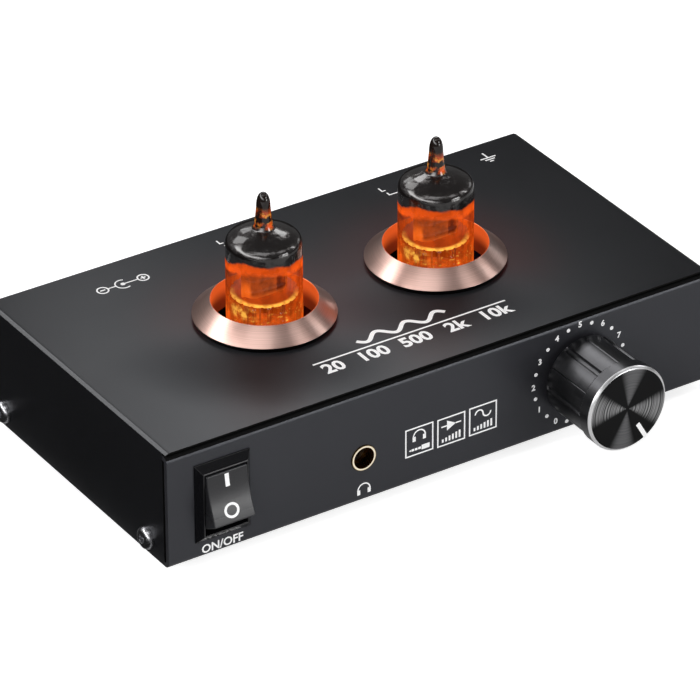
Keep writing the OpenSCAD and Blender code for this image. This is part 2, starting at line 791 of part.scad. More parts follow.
// Envelope: pinched base, straight wall, elliptical dome and the sealed tip, hollow inside
module tube_glass(side) {
    r = tube_r;
    inner = r - glass_t;
    base_round = 1.8;                // how far the base draws in at its foot
    neck_r = tip_d / 2 + 0.5;
    neck_a = acos(neck_r / r);
    neck_z = shoulder_z + dome_h * sin(neck_a);
    inner_end_a = 84;                // where the hollow leaves the dome for the sealed tip
    outside = concat([[0, 0]],
        arc(r - base_round, base_round * 1.3, base_round, base_round * 1.3, -90, 0, 5),
        arc(0, shoulder_z, r, dome_h, 0, neck_a, 14),
        [[tip_d / 2 + 0.1, neck_z + 0.9], [tip_d / 2, neck_z + 2]],
        arc(0, tube_h - tip_d * 0.6, tip_d / 2, tip_d * 0.6, 0, 90, 5));
    inside = concat([[0, button_t], [inner - 0.6, button_t], [inner, button_t + 0.8]],
        arc(0, shoulder_z, inner, dome_h - glass_t, 0, inner_end_a, 14),
        [[0.45, neck_z + 1.2], [0, neck_z + 2]]);
    at_tube(side) difference() {
        rotate_extrude($fn = 96) polygon(outside);
        rotate_extrude($fn = 96) polygon(inside);
        at_pins() translate([0, 0, -1]) cylinder(d = pin_d + 2 * fit_gap, h = button_t + 2);
    }
}

// The base of a tube as its own origin
module at_tube(side) {
    translate([side * tube_x, tube_y, tube_base]) children();
}

// Pins through the glass button, and the thin leads that go on to the lower mica
module tube_pins(side) {
    at_tube(side) at_pins() {
        translate([0, 0, -pin_len]) cylinder(d = pin_d, h = pin_len + button_t + 0.8);
        translate([0, 0, button_t + 0.8]) cylinder(d = pin_d / 2, h = mica_low_z - button_t - 0.8);
    }
}

// Two toothed mica discs that hold the electrodes
module tube_micas(side) {
    teeth = 20;
    at_tube(side) for (z = [mica_low_z, mica_high_z]) translate([0, 0, z]) linear_extrude(mica_t) difference() {
        circle(mica_r);
        for (i = [0:teeth - 1]) rotate(360 / teeth * i) translate([mica_r, 0]) circle(0.35);
        circle(d = cathode_d + 2 * fit_gap);
        for (x = [-1, 1]) translate([x * grid_rod_pitch / 2, 0]) circle(d = grid_rod_d + 2 * fit_gap);
    }
}

// Plate: a flat-sided sleeve with two stiffening wings, between the micas
module tube_plate(side) {
    wing = (plate_w - plate_d) / 2;
    at_tube(side) translate([0, 0, mica_low_z + mica_t]) linear_extrude(mica_pitch - mica_t) difference() {
        union() {
            square([plate_w - 2 * wing, plate_d], center = true);
            for (x = [-1, 1]) translate([x * (plate_w / 2 - wing), 0]) circle(d = plate_d);
            square([plate_w + 1.6, 2 * plate_t], center = true);
        }
        square([plate_w - 2 * wing, plate_d - 2 * plate_t], center = true);
        for (x = [-1, 1]) translate([x * (plate_w / 2 - wing), 0]) circle(d = plate_d - 2 * plate_t);
    }
}

// Cathode sleeve and the two grid rods, held by both micas
module tube_electrodes(side) {
    ends = 0.9;                      // reach of the electrodes beyond the micas
    low = mica_low_z - ends;
    height = mica_pitch + mica_t + 2 * ends;
    at_tube(side) translate([0, 0, low]) {
        difference() {
            cylinder(d = cathode_d, h = height);
            translate([0, 0, -1]) cylinder(d = cathode_d * 0.6, h = height + 2);
        }
        for (x = [-1, 1]) translate([x * grid_rod_pitch / 2, 0, 0]) cylinder(d = grid_rod_d, h = height);
    }
}

// Getter ring on its strut above the upper mica
module tube_getter(side) {
    base = mica_high_z + mica_t;
    at_tube(side) {
        translate([0, 0, base + getter_lift]) rotate_extrude() translate([getter_d / 2, 0]) circle(d = getter_wire_d, $fn = 24);
        translate([0, getter_d / 2, base]) cylinder(d = getter_wire_d * 0.8, h = getter_lift);
    }
}

module tube_glass_left() { color("#d98a4e", 0.45) tube_glass(-1); }
module tube_glass_right() { color("#d98a4e", 0.45) tube_glass(1); }
module tube_pins_left() { color("#b7b7b2") tube_pins(-1); }
module tube_pins_right() { color("#b7b7b2") tube_pins(1); }
module tube_micas_left() { color("#c8b890") tube_micas(-1); }
module tube_micas_right() { color("#c8b890") tube_micas(1); }
module tube_plate_left() { color("#4a4a4c") tube_plate(-1); }
module tube_plate_right() { color("#4a4a4c") tube_plate(1); }
module tube_electrodes_left() { color("#9a9c9e") tube_electrodes(-1); }
module tube_electrodes_right() { color("#9a9c9e") tube_electrodes(1); }
module tube_getter_left() { color("#8d8f91") tube_getter(-1); }
module tube_getter_right() { color("#8d8f91") tube_getter(1); }

// ---------- rocker switch ----------

// Housing: a framed bezel on the panel, and a body behind it with the rocker's well
module switch_housing() {
    well_deep = pivot_deep + 5;
    wall = (switch_body_w - well_w) / 2;
    color("#141415") translate([switch_x, -half_d, switch_mid]) difference() {
        union() {
            block([-bezel_w / 2, -bezel_edge, -bezel_h / 2], [bezel_w / 2, 0, bezel_h / 2]);
            intersection() {
                along_x(-bezel_w / 2, bezel_w / 2) bezel_slope(bezel_h, well_h);
                rotate([0, 90, 0]) along_x(-bezel_h / 2, bezel_h / 2) bezel_slope(bezel_w, well_w);
            }
            block([-switch_body_w / 2, -bezel_edge, -switch_body_h / 2],
                [switch_body_w / 2, switch_body_d, switch_body_h / 2]);
        }
        block([-well_w / 2, -bezel_rise - 1, -well_h / 2], [well_w / 2, well_deep, well_h / 2]);
        translate([-well_w / 2 - wall * 0.8, pivot_deep, 0]) rotate([0, 90, 0])
            cylinder(d = pivot_d + 2 * pivot_play, h = well_w + 2 * wall * 0.8);
    }
}

// Section of the bezel's frame: it slopes up from the panel to the well's rim
module bezel_slope(outer, inner) {
    rim = inner / 2 + 0.35;
    polygon([[0, -outer / 2], [-bezel_edge, -outer / 2], [-bezel_rise, -rim], [-bezel_rise, rim],
        [-bezel_edge, outer / 2], [0, outer / 2]]);
}

// Rocker, pressed in at its upper end: hollow-faced block that turns on two pins
module switch_rocker() {
    half = rocker_span / 2;
    face_r = (half * half + rocker_hollow * rocker_hollow) / (2 * rocker_hollow);
    face_a = asin(half / face_r);
    face = arc(-rocker_reach + rocker_hollow - face_r, 0, face_r, face_r, -face_a, face_a, 12);
    flank = 1.15;                    // how far the rocker widens below its face, half on each end
    shoulder = [-2, half + flank];
    web = [-1, half + flank - 0.8];  // underside of the ends, and where the hub leaves it
    hub = 3.2;
    pin_reach = (switch_body_w - well_w) / 2 * 0.6;
    color("#101011") translate([switch_x, pivot_y, switch_mid]) rotate([-rocker_tilt, 0, 0]) {
        along_x(-rocker_w / 2, rocker_w / 2) polygon(concat(face,
            [shoulder, web, [web[0], hub], [pivot_d, pivot_d * 0.6], [pivot_d, -pivot_d * 0.6], [web[0], -hub],
            [web[0], -web[1]], [shoulder[0], -shoulder[1]]]));
        translate([-well_w / 2 - pin_reach, 0, 0]) rotate([0, 90, 0])
            cylinder(d = pivot_d, h = well_w + 2 * pin_reach);
    }
}

// Two terminal blades behind the housing
module switch_terminals() {
    color("#c9ccd0") for (z = [-1, 1]) translate([switch_x, 0, switch_mid + z * blade_pitch / 2])
        block([-blade_w / 2, -half_d + switch_body_d, -blade_t / 2], [blade_w / 2, blade_end, blade_t / 2]);
}

// Two leads from the blades down to the board
module switch_leads() {
    lower = switch_mid - blade_pitch / 2;
    upper = switch_mid + blade_pitch / 2;
    color("#8e2323") {
        bent_lead(switch_x, blade_end, lower, notch_gap + lead_d, 1);
        bent_lead(switch_x, blade_end, upper, notch_gap + 4 * lead_d, 1);
    }
}

// ---------- headphone jack ----------

jack_face = -half_d + tray_t + fit_gap;   // front of the housing, behind the panel
plug_mouth = -half_d - bush_reach;
plug_end = plug_mouth + plug_len;

// Housing on the board, bored for the plug
module headphone_jack() {
    color("#161617") difference() {
        block([jack_x - jack_w / 2, jack_face, board_top],
            [jack_x + jack_w / 2, jack_face + jack_d, board_top + jack_h]);
        bar_y(bush_d + 2 * fit_gap, jack_face - 1, plug_mouth + bush_deep, jack_x, jack_z);
        bar_y(plug_d, jack_face, plug_end, jack_x, jack_z);
    }
}

// Gilt bush that lines the jack's mouth
module jack_bush() {
    color("#d8a94a") pipe_y(bush_d, bush_mouth_d, plug_mouth, plug_mouth + bush_deep, jack_x, jack_z);
}

// Spring contacts along the jack's sides, and one across its back
module jack_leaves() {
    low = board_top + 1;
    high = board_top + jack_h - 1;
    color("#c9a24d") {
        for (side = [-1, 1]) translate([jack_x + side * (jack_w + jack_leaf_t) / 2, jack_face + jack_d / 2, 0])
            block([-jack_leaf_t / 2, -4, board_top], [jack_leaf_t / 2, 4, high]);
        block([jack_x - 2, jack_face + jack_d, board_top], [jack_x + 2, jack_face + jack_d + jack_leaf_t, low + 3]);
    }
}

// ---------- volume control and knob ----------

pot_face = -half_d + tray_t;

// Housing of the volume control, standing on the board behind the panel
module pot_housing() {
    color("#2f4a63") difference() {
        block([volume_x - pot_w / 2, pot_face, board_top], [volume_x + pot_w / 2, pot_face + pot_d, board_top + pot_h]);
        bar_y(shaft_d + 2 * shaft_play, pot_face - 1, pot_face + 4, volume_x, volume_z);
    }
}

// Threaded bushing through the panel
module pot_bushing() {
    color("#b9ab7c") pipe_y(bushing_d, shaft_d + 2 * shaft_play, -half_d - bushing_reach, pot_face, volume_x, volume_z);
}

module pot_washer() {
    color("#c4c6c8") pipe_y(pot_nut_af + 1, bushing_d + 2 * fit_gap, -half_d - pot_washer_t, -half_d, volume_x, volume_z);
}

module pot_nut() {
    low = -half_d - pot_washer_t - pot_nut_t;
    color("#c4c6c8") difference() {
        hex_y(pot_nut_af, low, low + pot_nut_t, volume_x, volume_z);
        bar_y(bushing_d + 2 * fit_gap, low - 1, low + pot_nut_t + 1, volume_x, volume_z);
    }
}

// Shaft with a flat on its right side for the grub screw
module volume_shaft() {
    tip = knob_back - knob_bore_deep + 0.5;
    color("#9ea0a3") difference() {
        bar_y(shaft_d, tip, pot_face + 3.5, volume_x, volume_z);
        shaft_flat_cut(tip - 1);
    }
}

// What the flat takes off the shaft in front of the bushing
module shaft_flat_cut(tip) {
    translate([volume_x, 0, volume_z]) block([shaft_d / 2 - shaft_flat, tip, -shaft_d],
        [shaft_d, knob_back - recess_deep, shaft_d]);
}

// Knob: fluted body, groove, collar and turned face, bored for the shaft and recessed for the nut
module volume_knob() {
    body_r = knob_body_d / 2;
    collar_start = knob_len - collar_len;
    groove_start = collar_start - collar_groove_w;
    side = [[0, 0], [body_r - 0.4, 0], [body_r, 0.4], [body_r, groove_start],
        [body_r - collar_groove_deep, groove_start], [body_r - collar_groove_deep, collar_start],
        [knob_d / 2, collar_start], [knob_d / 2, knob_len - knob_chamfer], [knob_face_d / 2, knob_len], [0, knob_len]];
    color("#1a1a1b") difference() {
        translate([volume_x, knob_back, volume_z]) rotate([90, 0, 0]) difference() {
            rotate_extrude($fn = 96) polygon(side);
            translate([0, 0, -1]) cylinder(d = recess_d, h = recess_deep + 1);
            for (i = [0:flute_count - 1]) rotate([0, 0, 360 / flute_count * i]) {
                translate([body_r + flute_r - flute_deep, 0, -1]) cylinder(r = flute_r, h = groove_start + 1);
                rotate([0, 0, 180 / flute_count]) translate([body_r, 0, -1])
                    cylinder(d = line_w, h = groove_start + 1, $fn = 24);
            }
            translate([0, 0, grub_y]) rotate([0, 90, 0]) cylinder(d = grub_d + 2 * fit_gap, h = body_r + 1);
        }
        difference() {
            bar_y(shaft_d + 2 * fit_gap, knob_back - knob_bore_deep, knob_back, volume_x, volume_z);
            translate([fit_gap, 0, 0]) shaft_flat_cut(knob_back - knob_bore_deep - 1);
        }
    }
}

// Grub screw that holds the knob on the shaft's flat
module knob_grub_screw() {
    start = shaft_d / 2 - shaft_flat;
    length = 5;
    color("#606264") translate([volume_x + start, knob_back - grub_y, volume_z]) rotate([0, 90, 0]) difference() {
        cylinder(d = grub_d, h = length);
        translate([0, 0, length - 1.5]) cylinder(d = grub_d / 2, h = 2, $fn = 6);
    }
}

// ---------- rear connectors ----------

// Power inlet: housing on the board, with a round nose through the rear panel
module power_inlet() {
    mouth = half_d + 0.4;
    color("#161617") difference() {
        union() {
            block([inlet_x - inlet_w / 2, half_d - tray_t - inlet_d, board_top],
                [inlet_x + inlet_w / 2, half_d - tray_t, board_top + inlet_h]);
            bar_y(inlet_nose_d, half_d - tray_t - eps, mouth, inlet_x, inlet_z);
        }
        bar_y(inlet_bore_d, mouth - inlet_bore_deep, mouth + 1, inlet_x, inlet_z);
    }
}

// Centre pin of the power inlet
module inlet_pin() {
    mouth = half_d + 0.4;
    color("#c9ccd0") bar_y(inlet_pin_d, mouth - inlet_bore_deep, mouth - 0.8, inlet_x, inlet_z);
}

// The block behind a pair of phono sockets
module rca_block(middle) {
    rear = half_d - tray_t;
    difference() {
        block([middle - rca_block_w / 2, rear - rca_block_d, board_top], [middle + rca_block_w / 2, rear, board_top + rca_block_h]);
        for (side = [-1, 1])
            bar_y(rca_shell_d + 2 * fit_gap, rear - rca_block_d / 2, rear + 1, middle + side * rca_pitch / 2, rca_z);
    }
}

module line_out_block() { color("#161617") rca_block(-rca_out_left); }
module line_in_block() { color("#161617") rca_block(rca_in_x); }

rca_mouth_y = half_d + rca_flange_t + rca_reach;
rca_root_y = half_d - tray_t - rca_block_d / 2;
rca_core_d = rca_pin_bore_d + 2 * rca_contact_t;

// Gilt shells with their flanges against the rear panel
module rca_shells() {
    color("#d8a94a") for (x = rca_xs) difference() {
        union() {
            bar_y(rca_shell_d, rca_root_y, rca_mouth_y, x, rca_z);
            bar_y(rca_flange_d, half_d, half_d + rca_flange_t, x, rca_z);
        }
        bar_y(rca_shell_d - 2 * rca_shell_t, rca_root_y - 1, rca_mouth_y + 1, x, rca_z);
    }
}

// Insulator inside one shell
module rca_insulator(x) {
    pipe_y(rca_shell_d - 2 * rca_shell_t - 2 * fit_gap, rca_core_d + 2 * fit_gap, rca_root_y, rca_mouth_y - rca_mouth, x, rca_z);
}

module rca_insulators_left() { color("#e8e6e0") for (i = [0, 2]) rca_insulator(rca_xs[i]); }
module rca_insulators_right() { color("#b3201f") for (i = [1, 3]) rca_insulator(rca_xs[i]); }

// Centre contacts, bored for the plugs' pins
module rca_contacts() {
    wall = 1;
    color("#d8a94a") for (x = rca_xs) difference() {
        bar_y(rca_core_d, rca_root_y, rca_mouth_y - rca_mouth, x, rca_z);
        bar_y(rca_pin_bore_d, rca_root_y + wall, rca_mouth_y, x, rca_z);
    }
}

// Ground stud with its collar against the rear panel
module ground_stud() {
    color("#d8a94a") {
        bar_y(stud_d, half_d - tray_t - tag_t - ground_nut_t - 0.6, half_d + stud_reach, ground_x, ground_z);
        pipe_y(stud_collar_d, stud_d, half_d, half_d + stud_collar_t, ground_x, ground_z);
    }
}

// Nut inside the rear panel that holds the stud and its solder tag
module ground_inner_nut() {
    rear = half_d - tray_t - tag_t;
    color("#c4c6c8") difference() {
        hex_y(ground_nut_af, rear - ground_nut_t, rear, ground_x, ground_z);
        bar_y(stud_d + 2 * fit_gap, rear - ground_nut_t - 1, rear + 1, ground_x, ground_z);
    }
}

// Solder tag under the inner nut, and the lead from it to the board
module ground_lead() {
    rear = half_d - tray_t;
    tail = 4;
    low = ground_z - ground_nut_af / 2 - 2.2;
    color("#2f7a3c") {
        difference() {
            union() {
                bar_y(ground_nut_af, rear - tag_t, rear, ground_x, ground_z);
                block([ground_x - 1, rear - tag_t, low], [ground_x + 1, rear, ground_z]);
            }
            bar_y(stud_d + 2 * fit_gap, rear - tag_t - 1, rear + 1, ground_x, ground_z);
        }
        block([ground_x - 1, rear - tail, low], [ground_x + 1, rear - tag_t, low + tag_t]);
        bent_lead(ground_x, rear - tail, low + tag_t / 2, 0.5, -1);
    }
}

// Washer that clamps the turntable's ground wire
module ground_washer() {
    color("#d8a94a") pipe_y(ground_washer_d, stud_d + 2 * stud_play, ground_clamp_y, ground_clamp_y + ground_washer_t, ground_x, ground_z);
}

// Fluted thumb nut that runs on the stud
module ground_thumb_nut() {
    start = ground_clamp_y + ground_washer_t + hole_gap;
    color("#d8a94a") difference() {
        bar_y(thumb_nut_d, start, start + thumb_nut_len, ground_x, ground_z);
        bar_y(stud_d + 2 * stud_play, start - 1, start + thumb_nut_len + 1, ground_x, ground_z);
        for (i = [0:thumb_flutes - 1]) translate([ground_x, 0, ground_z]) rotate([0, 360 / thumb_flutes * i, 0])
            bar_y(0.8, start + 1, start + thumb_nut_len + 1, thumb_nut_d / 2 + 0.1, 0);
    }
}

// ---------- parts on the board ----------

// Middle of the row of parts beside a tube socket, from the case's middle
beside_x = tube_x + socket_d / 2 + filter_cap_d / 2 + part_gap;
can_pitch = filter_cap_d + part_gap;
// Rear ends of the rows of filter capacitors, in front of the power inlet and of the input sockets
can_rows = [half_d - tray_t - inlet_d - part_gap, half_d - tray_t - rca_block_d - can_pitch - part_gap];

// Filter capacitors beside the tube sockets
module filter_capacitors() {
    base_h = 1;
    base_step = 0.3;                 // how far a can draws in at its foot
    color("#27408a") for (row = [0, 1], i = [0, 1])
        translate([[-1, 1][row] * beside_x, can_rows[row] - filter_cap_d / 2 - i * can_pitch, board_top]) {
            cylinder(d = filter_cap_d - 2 * base_step, h = base_h);
            translate([0, 0, base_h]) cylinder(d = filter_cap_d, h = filter_cap_h - base_h);
        }
}

// Film capacitors in a row between the tubes
module coupling_capacitors() {
    count = 4;
    pitch = film_cap_w + part_gap / 2;
    color("#b0392c") for (i = [0:count - 1]) translate([0, (i - (count - 1) / 2) * pitch, board_top])
        block([-film_cap_l / 2, -film_cap_w / 2, 0], [film_cap_l / 2, film_cap_w / 2, film_cap_h]);
}

// Two amplifier chips with their legs, in front of the film capacitors
module op_amps() {
    row_y = -2 * (film_cap_w + part_gap / 2) - chip_w - part_gap;
    leg_pitch = 2.54;
    leg_w = 0.6;
    leg_t = 0.8;
    standing = 0.6;                  // height of a chip's underside above the board
    color("#1c1c1d") for (i = [0, 1]) translate([i * (chip_l + part_gap), row_y, board_top]) {
        block([-chip_l / 2, -chip_w / 2, standing], [chip_l / 2, chip_w / 2, standing + chip_h]);
        for (k = [0:3], side = [-1, 1]) translate([(k - 1.5) * leg_pitch, side * (chip_w + leg_t) / 2, 0])
            block([-leg_w / 2, -leg_t / 2, 0], [leg_w / 2, leg_t / 2, standing + chip_h / 2]);
    }
}

// Front of the heat sink, on the left side in front of the capacitors
sink_y = can_rows[0] - filter_cap_d - can_pitch - part_gap / 4 - sink_fin - sink_t;
sink_h = cover_top - cover_t - sink_gap - board_top;

// Voltage regulator, upright against its heat sink
module regulator() {
    body_w = 10;
    body_t = 4.4;
    tab_t = 1.3;
    leg_h = 3;
    body_h = 9;
    tab_h = sink_h - leg_h - body_h - 2;
    leg_pitch = 2.54;
    leg_w = 0.8;
    leg_t = 0.6;
    color("#202021") translate([-beside_x, sink_y - body_t, board_top]) {
        block([-body_w / 2, 0, leg_h], [body_w / 2, body_t, leg_h + body_h]);
        block([-body_w / 2, body_t - tab_t, leg_h + body_h], [body_w / 2, body_t, leg_h + body_h + tab_h]);
        for (i = [-1:1]) translate([i * leg_pitch, (body_t - leg_t) / 2, 0])
            block([-leg_w / 2, 0, 0], [leg_w / 2, leg_t, leg_h]);
    }
}

// Finned heat sink behind the regulator
module heat_sink() {
    fins = 7;
    fin_w = 1;
    pitch = (sink_w - fin_w) / (fins - 1);
    color("#8a8d90") translate([-beside_x, sink_y, board_top]) {
        block([-sink_w / 2, 0, 0], [sink_w / 2, sink_t, sink_h]);
        for (i = [0:fins - 1]) translate([-sink_w / 2 + i * pitch, 0, 0])
            block([0, sink_t, 0], [fin_w, sink_t + sink_fin, sink_h]);
    }
}

// Wound inductor of the converter that makes the tubes' supply, in the rear left corner
module boost_inductor() {
    x = inlet_x - inlet_w / 2 - part_gap / 2 - coil_d / 2;
    y = board_half_d - coil_d / 2 - part_gap;
    winding = (coil_d - coil_bore_d) / 2;
    color("#7a4a2a") translate([x, y, board_top]) rotate_extrude()
        translate([coil_bore_d / 2, 0]) square([winding, coil_h]);
}

// A row of resistors that lie on the board behind the volume control
module resistors() {
    count = 6;
    pitch = resistor_d + part_gap;
    row_y = pot_face + pot_d + part_gap + resistor_l / 2;
    lift = resistor_d / 2;
    leg = resistor_l / 2 + 0.6;
    color("#c8ac7a") for (i = [0:count - 1])
        translate([volume_x + (i - (count - 1) / 2) * pitch, row_y, board_top + lift]) {
            bar_y(resistor_d, -resistor_l / 2, resistor_l / 2);
            bar_y(resistor_wire_d, -leg - resistor_wire_d / 2, leg + resistor_wire_d / 2);
            for (side = [-1, 1]) translate([0, side * leg, -lift]) cylinder(d = resistor_wire_d, h = lift);
        }
}

top_cover();
base_tray();
rubber_feet();
cover_screws();
circuit_board();
board_standoffs();
board_screws();
trim_ring_left();
trim_ring_right();
tube_socket_left();
tube_socket_right();
socket_contacts();
tube_lights();
switch_housing();
switch_terminals();
switch_leads();
switch_rocker();
headphone_jack();
jack_bush();
jack_leaves();
pot_housing();
pot_bushing();
pot_washer();
pot_nut();
volume_shaft();
volume_knob();
knob_grub_screw();
power_inlet();
inlet_pin();
line_out_block();
line_in_block();
rca_shells();
rca_insulators_left();
rca_insulators_right();
rca_contacts();
ground_stud();
ground_inner_nut();
ground_lead();
ground_washer();
ground_thumb_nut();
filter_capacitors();
coupling_capacitors();
op_amps();
regulator();
heat_sink();
boost_inductor();
resistors();
tube_glass_left();
tube_pins_left();
tube_micas_left();
tube_plate_left();
tube_electrodes_left();
tube_getter_left();
tube_glass_right();
tube_pins_right();
tube_micas_right();
tube_plate_right();
tube_electrodes_right();
tube_getter_right();
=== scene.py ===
"""Two-tube phono preamplifier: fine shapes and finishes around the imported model.

Shapes are worked out in millimetres, in the part's own frame (+X right, +Y back, +Z up,
controls facing -Y), and become metres when they are put into a mesh.
"""

import json
import math

import bmesh
import bpy
import numpy as np
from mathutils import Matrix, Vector
from mathutils.bvhtree import BVHTree

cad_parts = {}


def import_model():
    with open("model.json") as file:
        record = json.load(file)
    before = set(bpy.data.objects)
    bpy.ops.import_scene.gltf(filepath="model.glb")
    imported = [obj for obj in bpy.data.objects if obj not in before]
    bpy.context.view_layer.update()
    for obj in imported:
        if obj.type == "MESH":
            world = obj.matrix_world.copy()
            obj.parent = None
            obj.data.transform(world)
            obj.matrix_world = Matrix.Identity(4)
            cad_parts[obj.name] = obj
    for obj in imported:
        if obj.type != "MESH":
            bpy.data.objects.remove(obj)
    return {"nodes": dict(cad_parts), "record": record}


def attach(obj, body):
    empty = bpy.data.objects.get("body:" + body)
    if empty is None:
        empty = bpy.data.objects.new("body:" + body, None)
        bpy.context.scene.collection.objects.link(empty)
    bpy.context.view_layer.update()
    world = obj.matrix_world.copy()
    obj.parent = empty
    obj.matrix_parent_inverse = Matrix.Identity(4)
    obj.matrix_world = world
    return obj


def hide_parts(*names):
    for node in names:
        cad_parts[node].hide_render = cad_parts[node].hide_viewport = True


MM = 0.001
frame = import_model()
NODES = frame["nodes"]
BODIES = frame["record"]["behaviour"]["bodies"]
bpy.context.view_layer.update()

# ---------- sizes of the object, in millimetres ----------

CASE_W = 152.0
CASE_D = 82.2
FRONT = -CASE_D / 2
COVER_TOP = 34.0
FOLD_R = 1.6

TUBE_Y = -0.8
TUBE_XS = {"left": -24.25, "right": 24.25}
TUBE_BASE = 29.4
TUBE_FEET = {side: (x, TUBE_Y, TUBE_BASE) for side, x in TUBE_XS.items()}
TUBE_R = 9.15
TUBE_H = 38.1
LOW_MICA = 11.45
HIGH_MICA = 20.45

RING_OD = 34.6
RING_ID = 25.5
RING_RIM = 1.2
RING_H = 5.0

SWITCH_X = -61.4
SWITCH_Z = 18.2
JACK_X = -22.7
JACK_Z = 15.1

VOLUME_X = 38.5
VOLUME_Z = 18.0
KNOB_BACK = -42.5
KNOB_BASE = (VOLUME_X, KNOB_BACK, VOLUME_Z)
KNOB_LEN = 18.6
KNOB_BODY_R = 10.6
COLLAR_R = 11.15
FACE_R = 10.56
COLLAR_START = KNOB_LEN - 3.9
GROOVE_START = COLLAR_START - 0.5
POINTER_TURN = -60

INK_T = 0.03
SHARP_TURN = 30.0

# Two level directions that the looks of the glass and the cover change with.
TO_FRONT = (-0.542, -0.840, 0.0)
TO_LEFT = (-0.839, 0.544, 0.0)

AXES = {
    "up": ((1, 0, 0), (0, 1, 0), (0, 0, 1)),
    "front": ((1, 0, 0), (0, 0, 1), (0, -1, 0)),
}

# ---------- shader maths ----------


class Wire:
    """A node's output socket; each operator on it adds one Math node."""

    def __init__(self, finish, socket):
        self.finish = finish
        self.socket = socket

    def math(self, operation, *others, clamp=False):
        inputs = dict(enumerate((self, *others)))
        return self.finish.add("Math", inputs, operation=operation, use_clamp=clamp)

    def __add__(self, other):
        return self.math("ADD", other)

    __radd__ = __add__

    def __sub__(self, other):
        return self.math("SUBTRACT", other)

    def __rsub__(self, other):
        return self.finish.add("Math", {0: other, 1: self}, operation="SUBTRACT")

    def __mul__(self, other):
        return self.math("MULTIPLY", other)

    __rmul__ = __mul__

    def __truediv__(self, other):
        return self.math("DIVIDE", other)

    def __pow__(self, other):
        return self.math("POWER", other)

    def clamped(self):
        return self.math("ADD", 0.0, clamp=True)

    def vector(self, operation, other=None, output=0):
        """One Vector Math node; dot products and lengths come out of its second socket."""
        inputs = {0: self} if other is None else {0: self, 1: other}
        return self.finish.add("VectorMath", inputs, output=output, operation=operation)

    def dot(self, other):
        return self.vector("DOT_PRODUCT", other, output=1)

    def step(self, low, high):
        """0 below low, 1 above high, smooth between; with low above high it falls instead."""
        inputs = {"Value": self, "From Min": low, "From Max": high}
        return self.finish.add("MapRange", inputs, interpolation_type="SMOOTHSTEP")

    def between(self, low, full, last, end):
        """0 below low and above end, 1 from full to last."""
        return self.step(low, full) * self.step(end, last)


